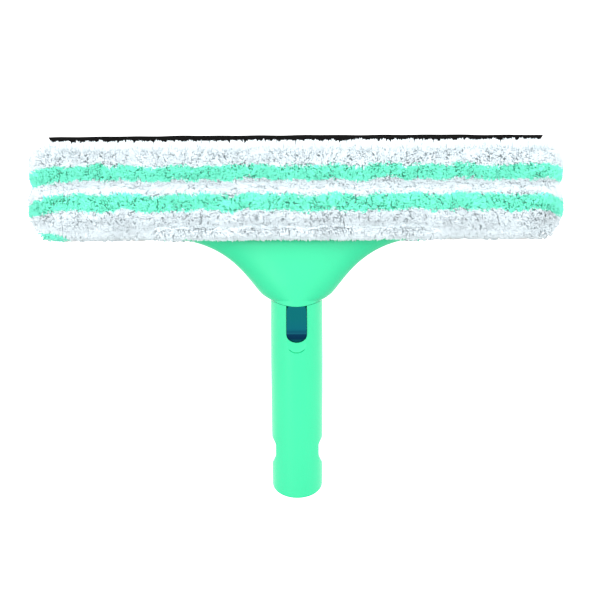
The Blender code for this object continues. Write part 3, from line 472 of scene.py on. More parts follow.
def handle_radius(z):
    """A cylinder that narrows evenly over its lower part."""
    return END_RADIUS + (RADIUS - END_RADIUS) * np.clip(z / TAPER, 0, 1)


def neck_edge(x):
    """The bowl-shaped lower edge of the neck: a parabola across the front."""
    return NECK_Z + EDGE_RISE * (x / RADIUS) ** 2


def slot_half(z, margin):
    """Half the slot's width at a height: half an ellipse below, straight above."""
    share = np.clip((SLOT_CENTRE - z) / (LEVER_END + GAP + margin), 0, 1)
    return (SLOT_HALF + margin) * np.sqrt(1 - share**2)


def slot_rows(margin, arc_steps=22, straight_steps=26):
    """Heights of the slot's rows: even angles round its lower end, then even steps up to the top."""
    angle = np.linspace(0, np.pi / 2, arc_steps)
    low = SLOT_CENTRE - (LEVER_END + GAP + margin) * np.cos(angle)
    high = np.linspace(SLOT_CENTRE, NECK_Z, straight_steps + 1)[1:]
    return np.concatenate([low, high])


def bent(z, x, y, lift):
    """Rows bent to the slanted open end below and to the neck's edge above."""
    slant = END_SLOPE * (END_RADIUS + y) + lift
    z = np.where(z < SLANT_TOP, slant + z / SLANT_TOP * (SLANT_TOP - slant), z)
    bend_from = NECK_Z - 14.0
    top = neck_edge(x) - 0.4 * GAP
    share = np.clip((z - bend_from) / (NECK_Z - bend_from), 0, 1)
    return np.where(z > bend_from, bend_from + share * (top - bend_from), z)


def handle_surface(x, y, z):
    """The outside: flats limit X at the waist, and an oval dish with a groove is the thumb recess."""
    ramp = np.clip((np.abs(z - WAIST_Z) - WAIST_FLAT) / (WAIST_REACH - WAIST_FLAT), 0, 1)
    limit = WAIST_X + (RADIUS + 1.0 - WAIST_X) * (ramp * 0.75 + smooth_step(ramp, 0, 1) * 0.25)
    x = np.sign(x) * soft_lower(np.abs(x), limit, 0.18)
    inside = 1 - (x / RECESS_HALF) ** 2 - ((z - RECESS_Z) / RECESS_RISE) ** 2
    dish = RECESS_DEPTH * np.clip(inside, 0, 1) ** 0.16 - 8 * np.clip(-inside, 0, 1)
    groove = 0.8 * np.exp(-(((inside - 0.06) / 0.05) ** 2)) * smooth_step(RECESS_Z - z, 3.5, 6.5)
    front = -soft_lower(-y, -(RECESS_Y + dish + groove), 0.05)
    return x, np.where(y < 0, front, y), z


def make_handle():
    """A tube of rows and columns: columns run from the slot's right edge round the back to its left edge.

    Outside, bore, slot wall, slanted rim and top are grids that share their edge points.
    """
    rounding = 0.25
    thickness = 9
    low = np.linspace(0, SLANT_TOP, 22)[:-1]
    grip = np.linspace(SLANT_TOP, RECESS_ROWS, 80)[:-1]
    gap_low = SLOT_CENTRE - LEVER_END - GAP
    even = np.linspace(0, 1, 181)[None, :]
    across = even - 0.11 * np.sin(2 * np.pi * even)  # closer together at the front

    def wall(radius, margin, lift):
        """A grid round the tube that leaves the slot open."""
        recess = np.linspace(RECESS_ROWS, gap_low - margin, 40)[:-1]
        rows = np.concatenate([low, grip, recess, slot_rows(margin)])[:, None]
        around = radius(rows) if callable(radius) else np.full_like(rows, radius)
        half = np.arcsin(np.where(rows < gap_low - margin, 0, slot_half(rows, margin)) / around)
        angle = half + across * (2 * np.pi - 2 * half)
        x = around * np.sin(angle)
        y = -around * np.cos(angle)
        return x, y, bent(rows, x, y, lift)

    outside = np.stack(handle_surface(*wall(handle_radius, rounding, RIM)), -1)
    bore = np.stack(wall(BORE, 0.0, RIM * 0.5), -1)

    turn = np.linspace(0, np.pi / 2, 5)
    margin = np.concatenate([rounding * (1 - np.sin(turn)), np.zeros(thickness - 5)])
    depth = np.concatenate([rounding * (1 - np.cos(turn)), np.zeros(thickness - 5)])
    share = np.concatenate([np.zeros(5), np.linspace(0, 1, thickness - 4)[1:]])
    rows = np.stack([slot_rows(m) for m in margin], -1)
    strips = []
    for side in (1, -1):
        x = side * slot_half(rows, margin)
        outer = -np.sqrt(handle_radius(rows) ** 2 - x**2)
        z = bent(rows, x, outer, 0)
        skin = handle_surface(x, outer, z)[1] + depth
        inner = -np.sqrt(BORE**2 - x**2)
        y = skin + (inner - skin) * share
        strips.append(np.stack([x, y, z], -1))
    slot_wall = np.concatenate([strips[0][::-1], strips[1][1:]])

    steps = [(END_RADIUS - RIM * (1 - math.cos(k)), RIM * (1 - math.sin(k))) for k in turn]
    steps += [(BORE + RIM * 0.5 * (1 - math.sin(k)), RIM * 0.5 * (1 - math.cos(k))) for k in turn]
    angle = across[0] * 2 * np.pi
    rim_rows = []
    for radius, lift in steps:
        x, y = radius * np.sin(angle), -radius * np.cos(angle)
        rim_rows.append(np.stack([x, y, END_SLOPE * (END_RADIUS + y) + lift], -1))
    rim_rows[0], rim_rows[-1] = outside[0], bore[0]
    end = np.stack(rim_rows)

    weight = np.linspace(0, 1, thickness)[:, None, None]
    top = outside[-1] * (1 - weight) + bore[-1] * weight
    top[:, 0] = strips[0][-1]
    top[:, -1] = strips[1][-1]
    patches = [(grid, False) for grid in (outside, bore, slot_wall, end, top)]
    handle = shell("handle_body", patches, "squeegee")
    return finish(handle, turquoise_plastic, "turquoise_plastic", "handle_tube")


def make_spigot():
    """The stepped-down end of the tube inside the neck: a C-shaped section carried up."""
    inner = BORE + 0.02
    half_out, half_in = (math.asin(SLOT_HALF / radius) for radius in (SPIGOT_RADIUS, inner))
    count = 97
    out = np.linspace(half_out, 2 * np.pi - half_out, count)
    back = np.linspace(2 * np.pi - half_in, half_in, count)
    radius = np.concatenate([np.full(count, SPIGOT_RADIUS), np.full(count, inner)])
    angle = np.concatenate([out, back])
    section = np.stack([radius * np.sin(angle), -radius * np.cos(angle)], -1)
    heights = np.array([NECK_Z - 3.0, SPIGOT_TOP - 0.5, SPIGOT_TOP])
    wall = np.zeros((3, 2 * count, 3))
    wall[..., :2] = section
    wall[..., 2] = heights[:, None]
    weight = np.array([0.0, 1.0])[:, None, None]
    caps = [wall[row, :count] * (1 - weight) + wall[row, : count - 1 : -1] * weight for row in (0, -1)]
    spigot = shell("handle_spigot", [(wall, True), (caps[0], False), (caps[1], False)], "squeegee")
    return finish(spigot, turquoise_plastic, "turquoise_plastic")


# -------------------------------- neck


def flare_table(inset):
    """Heights and half widths down the neck's side: a cubic curve, moved inwards along its normal."""
    share = np.linspace(0, 1, 400)[:, None]
    first = np.array([RADIUS, FLARE_Z])
    last = np.array([NECK_HALF, WING_Z])
    curve = (1 - share) ** 3 * first + 3 * (1 - share) ** 2 * share * (first + FLARE_START)
    curve += 3 * (1 - share) * share**2 * (last + FLARE_END) + share**3 * last
    along = np.gradient(curve, axis=0)
    inward = np.stack([-along[:, 1], along[:, 0]], -1)
    curve += inset * inward / np.linalg.norm(inward, axis=1)[:, None]
    return curve[:, 1], curve[:, 0]


def neck_depth(z):
    """Half the neck's depth: the handle's radius, easing to the thin top."""
    return RADIUS + (NECK_TOP_DEPTH - RADIUS) * smooth_step(z, DEPTH_START, NECK_TOP)


def neck_skin(inset, lift, levels, angle):
    """Half a neck skin: elliptical sections whose low rows bend to the bowl-shaped edge.

    A row is a share of the way up the flare's curve, and the width is read again after each bend.
    """
    heights, widths = flare_table(inset)
    bend_to = NECK_Z + 9.0
    z = levels[:, None] + np.zeros_like(angle)
    start = z.copy()
    low_z = levels[0]
    for _ in range(6):
        width = np.interp(z, heights, widths, left=RADIUS - inset)
        x = width * np.cos(angle)
        edge = neck_edge(x) + lift(x)
        share = np.clip((start - low_z) / (bend_to - low_z), 0, 1)
        z = np.where(start < bend_to, edge + share * (bend_to - edge), start)
    depth = np.where(z < FLARE_Z, RADIUS, neck_depth(z)) - inset
    return x, depth * np.sin(angle), z


def make_neck(name, side, node):
    """A half shell, the outer skin and an inner one joined round their edges."""
    base = np.linspace(np.pi, 2 * np.pi, 161)
    angle = (base - 0.16 * np.sin(2 * base))[None, :]
    share = np.linspace(0, 1, 90)
    heights, widths = flare_table(0.0)
    arc = np.concatenate([[0], np.cumsum(np.hypot(np.diff(heights), np.diff(widths)))])
    flare_rows = np.interp(share * arc[-1], arc, heights)
    low_rows = np.concatenate([[0, 0.06, 0.15, 0.3], np.linspace(0.6, 4.0, 10)[:-1]]) + NECK_Z
    levels = np.concatenate([low_rows, flare_rows, np.linspace(WING_Z, NECK_TOP, 9)[1:]])
    room = 2.3 if side < 0 else 0.0

    def lever_room(x):
        """How much higher the front shell's inner skin begins over the lever."""
        return room * (1 - smooth_step(np.abs(x), LEVER_HALF + 0.5, LEVER_HALF + 1.6))

    x, y, z = neck_skin(0.0, np.zeros_like, levels, angle)
    rounding = 0.3
    near = np.clip(rounding - (levels - NECK_Z), 0, rounding)[:, None]
    shrink = 1 - (rounding - np.sqrt(rounding**2 - near**2)) / RADIUS
    outer = np.stack([x * shrink, side * (NECK_SPLIT - y * shrink), z], -1)
    x, y, z = neck_skin(NECK_WALL, lever_room, levels, angle)
    inner = np.stack([x, side * (NECK_SPLIT - y), z], -1)
    grids = [outer, inner]
    for row in (0, -1):
        grids += [np.stack([outer[row], inner[row]]), np.stack([outer[:, row], inner[:, row]])]
    neck = shell(name, [(grid, False) for grid in grids], "squeegee")
    return finish(neck, turquoise_plastic, "turquoise_plastic", node)


def sink_screws(neck):
    """Cut round seats for the three screws into the rear shell and put cups behind the two thin ones."""
    cutters = []
    for x, z, floor in SEATS:
        profile = [(0, 0), (SEAT_RADIUS, 0), (SEAT_RADIUS, 20), (0, 20)]
        tool = shell("seat_cutter", [(turned(profile, (x, floor, z), 1), True)], None)
        step = neck.modifiers.new("seat", "BOOLEAN")
        step.operation = "DIFFERENCE"
        step.object = tool
        cutters.append(tool)
    settle(neck)
    smooth(neck.data)
    for tool in cutters:
        bpy.data.objects.remove(tool)
    for hand, (x, z, floor) in zip(("left", "right"), SEATS):
        rim = floor + 1.6
        base = floor - 2.5
        wall = SEAT_RADIUS + 1.6
        profile = [(0, floor), (SEAT_RADIUS, floor), (SEAT_RADIUS, rim), (wall, rim), (wall, base), (0, base)]
        cup = shell(f"screw_seat_{hand}", [(turned(profile, (x, 0, z), 1), True)], "squeegee")
        finish(cup, turquoise_plastic, "turquoise_plastic")


# -------------------------------- lever


def lever_outline(inset):
    """The pad's edge in front view: half an ellipse below, straight sides and a top with two tall arcs."""
    half = LEVER_HALF - inset
    low = np.linspace(np.pi, 2 * np.pi, 49)
    corner, drop = 2.6 - inset, 4.2 - inset
    turn = np.linspace(0, np.pi / 2, 9)
    top = LEVER_TOP - inset
    foot = np.stack([half * np.cos(low), SLOT_CENTRE + (LEVER_END - inset) * np.sin(low)], -1)
    rise = np.linspace(SLOT_CENTRE, top - drop, 26)[1:-1]
    right = np.stack([np.full_like(rise, half), rise], -1)
    turn_right = np.stack([half - corner + corner * np.cos(turn), top - drop + drop * np.sin(turn)], -1)
    across = np.linspace(half - corner, corner - half, 20)[1:-1]
    level = np.stack([across, np.full_like(across, top)], -1)
    half_way = np.concatenate([right, turn_right])
    return np.concatenate([foot, half_way, level, half_way[::-1] * (-1, 1)])


def lever_face(z):
    """The front face: flat above the ridge, sloping inwards below it, with a slight roll at the ridge."""
    fall = (RIDGE_Z - z) * 3.0 / (RIDGE_Z - LEVER_FOOT)
    return LEVER_FACE + np.logaddexp(0, fall / 0.12) * 0.12


def make_lever():
    """Rings from the middle of the face out to its edge, round it and back to the middle of the rear.

    The top follows an arc about the pin, so that it clears the neck as it swings.
    """
    rounding = 0.4
    rings = []
    middle = np.array([0, (LEVER_TOP + LEVER_FOOT) / 2])
    face_edge = lever_outline(rounding)
    for share in np.linspace(0, 1, 15)[:-1]:
        rings.append((middle + (face_edge - middle) * share, 0.0))
    for turn in np.linspace(0, np.pi / 2, 6):
        rings.append((lever_outline(rounding * (1 - math.sin(turn))), rounding * (1 - math.cos(turn))))
    edge = lever_outline(0.0)
    depth = LEVER_BACK - LEVER_FACE
    level = math.sqrt(LEVER_ARC**2 - (LEVER_FACE - PIVOT_Y) ** 2)
    for share in (0.4, 0.7, 1.0):
        rings.append((edge, rounding + (depth - rounding) * share))
    for share in (0.9, 0.5, 0.0):
        rings.append((middle + (edge - middle) * share, depth))
    patch = np.zeros((len(rings), len(edge), 3))
    for row, (outline, back) in enumerate(rings):
        face = lever_face(outline[:, 1])
        share = min(back / depth, 1.0)
        y = face + back * (1 - share) + (LEVER_BACK - face) * share if back > rounding else face + back
        y = np.minimum(y, LEVER_BACK)
        rise = np.sqrt(LEVER_ARC**2 - (y - PIVOT_Y) ** 2) - level
        lift = smooth_step(outline[:, 1], LEVER_TOP - 7, LEVER_TOP)
        patch[row] = np.stack([outline[:, 0], y, outline[:, 1] + rise * lift], -1)
    pad = [(patch, True)]
    lip_front, lip_back = -SPIGOT_RADIUS, 2 - SPIGOT_RADIUS
    lip_low, lip_top = LEVER_TOP - 3, LEVER_HIGH[2]
    lip = [(lip_front, lip_low), (lip_back, lip_low), (lip_back, lip_top), (lip_front, lip_top)]
    sunk = LEVER_BACK - 1  # the hooks start inside the pad
    nose_z, nose_y = PIVOT_Z - 6.5, -9.6
    nose = [(sunk, nose_z), (nose_y, nose_z), (nose_y, nose_z - 2.2)]
    nose += [(LEVER_BACK - 0.4, nose_z - 4.5), (sunk, nose_z - 4.5)]
    turn = np.linspace(-np.pi / 2, np.pi / 2, 17)
    lug = [(PIVOT_Y + 2.4 * math.cos(a), PIVOT_Z + 2.4 * math.sin(a)) for a in turn]
    lug += [(sunk, PIVOT_Z + 2.3), (sunk, PIVOT_Z - 2.3)]
    hooks = bar(lip, -LEVER_HALF, LEVER_HALF, 3) + bar(nose, -3, 3, 3) + bar(lug, -3.4, 3.4, 3)
    lever = shell("lever_pad", pad + hooks, "lever", 50)
    return finish(lever, teal_plastic, "teal_plastic", "release_lever")


def make_spring():
    """The lever's return spring: a small ring carried along a helix about an axis along Y, its ends closed.
    """
    low, high = corners("lever_spring")
    wire, turns = 0.3, 6
    radius = (high[0] - low[0]) / 2 - wire
    middle = np.array([0, 0, (low[2] + high[2]) / 2])
    share = np.linspace(0, 1, turns * 24 + 1)[:, None]
    turn = 2 * np.pi * turns * share
    outward = np.concatenate([np.cos(turn), 0 * turn, np.sin(turn)], 1)
    run = high[1] - low[1] - 2 * wire
    along = np.concatenate([0 * turn, high[1] - wire - run * share, 0 * turn], 1)
    path = middle + radius * outward + along
    ahead = np.gradient(path, axis=0)
    ahead /= np.linalg.norm(ahead, axis=1)[:, None]
    across = np.cross(ahead, outward)
    ring = np.linspace(0, 2 * np.pi, 13)[:-1][None, :, None]
    tube = path[:, None] + wire * (outward[:, None] * np.cos(ring) + across[:, None] * np.sin(ring))
    spring = shell("return_spring", [(capped(tube), True)], "squeegee", 60)
    finish(spring, steel, "steel_fasteners", "lever_spring")
    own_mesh(spring)


# -------------------------------- blade


def make_blade():
    """The blade's profile carried along X, its ends on a slant and its lip wavy, as cut rubber is."""
    bead_radius = 2.75
    bead_z = BLADE_LOW[2] + bead_radius
    top = CHANNEL_HIGH[2]
    lip_z = BLADE_HIGH[2]
    slant = 0.52  # how much shorter each end is, for each millimetre down
    turn = np.linspace(-np.pi / 2, np.pi / 2 - 0.49, 20)
    bead = [(bead_radius * math.cos(a), bead_z + bead_radius * math.sin(a)) for a in turn]
    right = bead + [(1.3, top + 0.3), (2.2, top + 1.2), (2.4, top + 1.7), (2.4, top + 2.5), (2.1, top + 3.4)]
    right += [(1.0, top + 6.0), (1.0, top + 7.0), (1.0, lip_z - 0.15), (0.85, lip_z)]
    outline = np.array(right + [(-y, z) for y, z in reversed(right[1:])])
    share = np.concatenate([[-1], np.linspace(-1, 1, 241), [1]])[:, None]
    y, z = outline.T
    half = BLADE_HIGH[0] - slant * (lip_z - z)
    x = share * half
    waves = 0.16 * np.sin(x / 9.0) * np.sin(x / 31.0 + 1.0) + 0.1 * np.sin(x / 4.3 + 0.7)
    droop = -0.7 * np.abs(x / half) ** 3
    height = smooth_step(z, top + 3, lip_z)
    rows = np.stack([x, y + waves * height * 1.5, z + (waves - 0.26 + droop) * height], -1)
    rows[0] = rows[1].mean(0)
    rows[-1] = rows[-2].mean(0)
    rows[[0, -1], :, 1:] = (0, (bead_z + lip_z) / 2)
    ends = BLADE_HIGH[0] - slant * (lip_z - (bead_z + lip_z) / 2)
    rows[0, :, 0], rows[-1, :, 0] = -ends, ends
    blade = shell("rubber_blade", [(rows, True)], "squeegee")
    return finish(blade, black_rubber, "blade_rubber", "squeegee_blade")


# -------------------------------- fleece sleeve


def pad_outside(z):
    """How far the backing stands out at a height: the greater of two half ellipses, and a crease between."""
    upper = UPPER_PAD[0] * np.sqrt(np.clip(1 - ((z - UPPER_Z) / UPPER_PAD[1]) ** 2, 0, 1))
    lower = LOWER_PAD[0] * np.sqrt(np.clip(1 - ((z - LOWER_Z) / LOWER_PAD[1]) ** 2, 0, 1))
    bounded = np.where((z > LOWER_Z) & (z < UPPER_Z), CREASE_Y, 0)
    return LOBE_Y + np.maximum(np.maximum(upper, lower), bounded)


def pad_inside(x, z):
    """The backing's inner face: clear of holder, tapes and neck, and closed at the ends."""
    out = np.abs(x)
    tape = 1.1 * smooth_step(z, TAPE_Z - 1.6, TAPE_Z - 0.6)
    beside_neck = 1 - smooth_step(out, NECK_HALF + 1.5, NECK_HALF + 4.5)
    neck = 3.7 * smooth_step(NECK_TOP + 1.2 - z, 0, 1.0) * beside_neck
    before_cap = 1 - smooth_step(out, CAP_HIGH[0] - 0.3, CAP_HIGH[0] + 1.0)
    return (PAD_INNER + tape + neck) * before_cap + GAP


def end_inset(z):
    """How much shorter the sleeve is at a height: a round corner above and a slow taper below."""
    corner = np.clip(z - (PAD_TOP - TOP_CORNER), 0, TOP_CORNER)
    return TOP_CORNER - np.sqrt(TOP_CORNER**2 - corner**2) + LOW_TAPER * smooth_step(UPPER_Z - z, 26, 56)


def make_pad(name, side, *nodes):
    """One side of the sleeve's backing, a closed pad: a two-lobed section carried along X.

    At the ends the section narrows as a quarter circle does in plan, and its inside closes to the middle.
    """
    angle = np.linspace(0, np.pi, 110)
    z = ((PAD_TOP + PAD_LOW) / 2 + (PAD_TOP - PAD_LOW) / 2 * np.cos(angle))[None, :]
    share = np.linspace(-1, 1, 161)[:, None]
    x = PAD_END * np.sign(share) * np.abs(share) ** 0.8
    beyond = np.clip((np.abs(x) - (PAD_END - PLAN_CORNER)) / PLAN_CORNER, 0, 1)
    narrow = np.sqrt(1 - beyond**2)
    across = x * (1 - end_inset(z) / PAD_END)
    inside = pad_inside(across, z)
    edge = PAD_EDGE * np.sqrt(np.clip(np.minimum(z - PAD_LOW, PAD_TOP - z) / 1.5, 0, 1))
    outside = np.maximum(pad_outside(z) * narrow, inside + edge * narrow)
    level = z + 0 * x
    outer = np.stack([across, side * outside, level], -1)
    inner = np.stack([across, side * inside, level], -1)[:, ::-1]
    grid = np.concatenate([outer, inner[:, 1:-1]], 1)
    pad = shell(name, [(capped(grid), True)], "squeegee", 80)
    return finish(pad, cover_fabric, "fleece", *nodes)


SIM_FRAMES = 12
VOXEL = 1.6  # side of the cloth's faces
SWELL = 1.3  # the most that a point of the sleeve may move


def swell(pad, side):
    """Blow the pad up a little as cloth under pressure, with its inside held where the head is.

    A point moves as the cloth does, but no further than the cap, which falls to nothing at the inner face.
    """
    cloth = pad.copy()
    cloth.data = pad.data.copy()
    cloth.parent = None
    bpy.context.scene.collection.objects.link(cloth)
    remesh = cloth.modifiers.new("remesh", "REMESH")
    remesh.mode = "VOXEL"
    remesh.voxel_size = VOXEL * MM
    settle(cloth)
    rest = read(cloth.data.vertices, "co")
    sim = cloth.modifiers.new("cloth", "CLOTH")
    sim.settings.use_pressure = True
    sim.settings.uniform_pressure_force = 4
    sim.settings.effector_weights.gravity = 0
    sim.settings.quality = 4
    sim.settings.mass = 0.3
    sim.collision_settings.use_collision = False
    sim.point_cache.frame_start, sim.point_cache.frame_end = 1, SIM_FRAMES
    for step in range(1, SIM_FRAMES + 1):
        bpy.context.scene.frame_set(step)
    settle(cloth)
    bpy.context.scene.frame_set(1)
    shift = read(cloth.data.vertices, "co") - rest
    length = np.linalg.norm(shift, axis=1, keepdims=True)
    middle = rest[:, :1] / MM, rest[:, 2:] / MM
    free = smooth_step(side * rest[:, 1:2] / MM - pad_inside(*middle), 0.5, 3.0)
    cap = SWELL * MM * free
    shift *= np.minimum(1, cap / np.maximum(length, 1e-9))
    cloth.data.vertices.foreach_set("co", (rest + shift).astype(np.float32).ravel())
    pad.data = cloth.data
    bpy.data.objects.remove(cloth)
    pad.data.materials.clear()
    pad.data.materials.append(cover_fabric)
    finer = pad.modifiers.new("finer", "SUBSURF")
    finer.levels = finer.render_levels = 1
    settle(pad)
    pad.data.shade_smooth()


def sample(pad, count, random):
    """Points spread evenly over a mesh by area, with the surface's normals there."""
    mesh = pad.data
    mesh.calc_loop_triangles()
    corner = read(mesh.loop_triangles, "vertices", np.int32)
    points = read(mesh.vertices, "co").astype(float) / MM
    normals = read(mesh.vertex_normals, "vector").astype(float)
    a, b, c = (points[corner[:, k]] for k in range(3))
    area = np.linalg.norm(np.cross(b - a, c - a), axis=1) / 2
    even = (np.arange(count) + random.random(count)) / count
    chosen = np.minimum(np.searchsorted(np.cumsum(area) / area.sum(), even), len(area) - 1)
    pair = random.random((2, count))
    u, v = np.where(pair.sum(0) > 1, 1 - pair, pair)[..., None]
    shares = (1 - u - v, u, v)
    place = sum(share * points[corner[chosen, k]] for k, share in enumerate(shares))
    normal = sum(share * normals[corner[chosen, k]] for k, share in enumerate(shares))
    return place, normal / np.linalg.norm(normal, axis=1)[:, None]


def end_bend(x, index):
    """How far a stripe drops near the sleeve's ends: a parabola, steeper on the left."""
    left, right = (np.clip((way * x - BEND_X) / BEND_REACH, 0, 1) ** 2 for way in (-1, 1))
    return 9.0 * left + STRIPE_BEND[index] * right


def is_turquoise(x, z, random):
    """Two stripes along the sleeve and a third under its lower edge, with uneven borders."""
    ragged = random.normal(0, 0.45, len(x))
    ragged += 0.5 * np.sin(x / 3.1) * np.sin(x / 7.7 + 2) + 0.35 * np.sin(x / 19.0)
    found = np.zeros(len(x), bool)
    for index, (low, high) in enumerate(STRIPES):
        height = z + end_bend(x, index) + ragged
        found |= (height > low) & (height < high)
    under = COVER_LOW[2] - 1.0 + 7.0 * smooth_step(-x, 146, 160)
    return found | (z + 0.8 * ragged < under)


def combing(x, z, random):
    """A slow swirl of the pile: sine waves of several lengths across the sleeve, as an X and a Z lean."""
    lean = np.zeros((len(x), 3))
    for length in (46.0, 27.0, 15.0, 9.0):
        for axis in (0, 2):
            way = random.uniform(0, 2 * math.pi)
            phase = random.uniform(0, 2 * math.pi)
            wave = np.sin((x * math.cos(way) + z * math.sin(way)) * 2 * math.pi / length + phase)
            lean[:, axis] += wave * 0.025 * math.sqrt(length)
    return lean


PILE_COUNT = 126000  # roots tried on each side of the sleeve, about half of them kept
TUFT = 2.6  # a tuft's size
CREASE_BARE = 3.2  # no pile is rooted this near the crease
SPIKE_WIDTH = 0.38
TIP_WIDTH = 1.4  # a spike's width near its tip, as a share of its root's


def make_pile(pad, side, label, random):
    """Tufted pile: closed three-sided blunt spikes rooted on the pad, drawn together in small tufts.

    A spike leaves along the surface's normal, leans with the combing and its tuft and sags a little, and its
    tip moves towards the middle of the tuft's tips. Tufts are the cells of a jittered lattice. Its shading
    normals lie between its own and the pad's, which is how a deep pile takes the light.
    """
    root, normal = sample(pad, PILE_COUNT, random)
    x, across, z = root[:, 0], side * root[:, 1], root[:, 2]
    outward = (side * normal[:, 1] > -0.3) & (across > pad_inside(x, z) + 0.35)
    crease = (np.abs(z - CREASE_Z) < CREASE_BARE) & (across < LOBE_Y + CREASE_Y + 1.3)
    keep = outward & ~(crease & (np.abs(x) < PAD_END - 16))
    root, normal = root[keep], normal[keep]
    x, z = root[:, 0], root[:, 2]
    total = len(root)
    high_up = smooth_step(z, PAD_TOP - 6, PAD_TOP - 1)
    low_down = smooth_step(LOWER_Z - z, 4, 14)

    cells = np.floor((root + random.normal(0, 0.3, (total, 3))) / TUFT).astype(int)
    _, tuft = np.unique(cells @ np.array([1, 1009, 1000003]), return_inverse=True)
    tuft = tuft.ravel()
    tufts = tuft.max() + 1
    lean = random.normal(0, 0.11, (tufts, 3))[tuft]
    long = 1 + random.normal(0, 0.05, tufts)[tuft] * (1 + high_up)
    direction = normal + lean + random.normal(0, 0.08, (total, 3))
    direction += combing(x, z, random) * (1 - high_up)[:, None]
    direction[:, 2] += 0.35 * high_up - 0.16 * (1 - high_up) - 0.35 * low_down
    direction[:, 1] -= side * 0.5 * high_up
    direction /= np.linalg.norm(direction, axis=1)[:, None]
    length = PILE * long * (1 + random.uniform(-0.06, 0.06, total) * (1 + high_up))
    length *= 1 - 0.2 * high_up - 0.22 * low_down - 0.35 * np.exp(-(((z - CREASE_Z) / 4.5) ** 2))
    tip = root + direction * length[:, None]
    members = np.bincount(tuft, minlength=tufts)
    middle = np.stack([np.bincount(tuft, tip[:, k], tufts) for k in range(3)], -1) / members[:, None]
    drawn = 0.10 + 0.22 * high_up
    tip += (middle[tuft] - tip) * drawn[:, None]
    near_tip = root * 0.2 + tip * 0.8 + normal * (0.05 * length)[:, None] + random.normal(0, 0.08, (total, 3))

    run = tip - root
    run /= np.linalg.norm(run, axis=1)[:, None]
    first = np.cross(run, random.normal(0, 1, (total, 3)))
    first /= np.linalg.norm(first, axis=1)[:, None]
    second = np.cross(run, first)
    width = SPIKE_WIDTH * random.uniform(0.8, 1.2, total)
    points = np.zeros((total, 7, 3))
    normals = np.zeros((total, 7, 3))
    for corner in range(3):
        turn = 2 * math.pi * corner / 3
        offset = first * math.cos(turn) + second * math.sin(turn)
        points[:, corner] = root + offset * width[:, None]
        points[:, corner + 3] = near_tip + offset * (width * (TIP_WIDTH - 0.6 * high_up))[:, None]
        normals[:, corner] = normals[:, corner + 3] = normal + 0.12 * offset + 0.18 * run
    points[:, 6] = tip
    normals[:, 6] = normal + 0.3 * run
    normals[:, :, 2] -= 0.3 * high_up[:, None]
    normals /= np.linalg.norm(normals, axis=2)[..., None]
    outer_z = z + normal[:, 2] * PILE * 0.75
    coloured = is_turquoise(x, outer_z, random)
    for colour, chosen, material, parts in (
        ("turquoise", coloured, turquoise_pile, 2),
        ("white", ~coloured, white_pile, 4),
    ):
        edges = np.quantile(x[chosen], np.linspace(0, 1, parts + 1))
        edges[0], edges[-1] = -np.inf, np.inf
        for part, (start, end) in enumerate(zip(edges, edges[1:]), 1):
            some = chosen & (x >= start) & (x < end)
            lay_pile(f"pile_{label}_{colour}_{part}", points[some], normals[some], material)


SPIKE = []
for corner in range(3):
    after = (corner + 1) % 3
    SPIKE += [(corner, after, after + 3), (corner, after + 3, corner + 3), (corner + 3, after + 3, 6)]
SPIKE = np.array(SPIKE + [(2, 1, 0)])
SPIKE_SHARE = np.array([0, 0, 0, 0.8, 0.8, 0.8, 1.0], np.float32)
SPIKE_MAP = np.array([(0.1, 0.1), (0.5, 0.1), (0.9, 0.1), (0.1, 0.6), (0.5, 0.6), (0.9, 0.6), (0.5, 0.9)])


def lay_pile(name, points, normals, material):
    """Put spikes into one mesh, with each point's share of the way to the tip and a map cell a spike."""
    total = len(points)
    faces = (SPIKE[None] + 7 * np.arange(total)[:, None, None]).reshape(-1, 3)
    pile = build(name, points.reshape(-1, 3), faces, "squeegee")
    mesh = pile.data
    mesh.shade_smooth()
    along = mesh.attributes.new("along", "FLOAT", "POINT")
    along.data.foreach_set("value", np.tile(SPIKE_SHARE, total))
    side = math.ceil(math.sqrt(total))
    cell = np.stack([np.arange(total) % side, np.arange(total) // side], -1)
    local = np.tile(SPIKE_MAP[SPIKE].reshape(-1, 2), (total, 1))
    layer = mesh.uv_layers.new(name="OFBake")
    places = (np.repeat(cell, SPIKE.size, axis=0) + local) / side
    layer.data.foreach_set("uv", places.astype(np.float32).ravel())
    mesh.normals_split_custom_set_from_vertices(normals.reshape(-1, 3).astype(np.float32))
    return finish(pile, material, "fleece")


# -------------------------------- flaps and bindings


def make_strip(name, node, wide, steps, sag, ripple, pace):
    """A strip of cloth, wide along the axis with that index: a thin slab along X with half-round long edges.

    It is lifted by a squared sine along its length, the sag, and by a finer sine ripple over X and Y.
    """
    low, high = corners(node)
    thin = 3 - wide
    radius = (high[thin] - low[thin]) / 2
    middle = (low[thin] + high[thin]) / 2
    turn = np.linspace(-np.pi / 2, np.pi / 2, 7)
    across = np.linspace(low[wide] + radius, high[wide] - radius, steps[0])
    edge = np.stack([across[-1] + radius * np.cos(turn), middle + radius * np.sin(turn)], -1)
    face = np.stack([across[-2:0:-1], np.full(steps[0] - 2, high[thin])], -1)
    half = np.concatenate([edge, face])
    outline = np.concatenate([half, (across[0] + across[-1], 2 * middle) - half])
    patches = bar(outline if wide == 1 else outline[:, ::-1], low[0], high[0], steps[1])
    rows = patches[0][0]
    share = (rows[..., 0] - low[0]) / (high[0] - low[0])
    lift = sag * np.sin(2 * np.pi * share) ** 2 + ripple * np.sin((rows[..., :2] / pace).sum(-1))
    rows[..., 2] += lift
    strip = shell(name, patches, "squeegee", 60)
    finish(strip, cover_fabric, "cover_fabric", node)


# -------------------------------- carried-over CAD nodes


def repaint(material, *starts):
    """Give every shown CAD node whose name begins so a better material."""
    for name, node in frame["nodes"].items():
        if name.startswith(starts):
            for spot in node.material_slots:
                spot.material = material


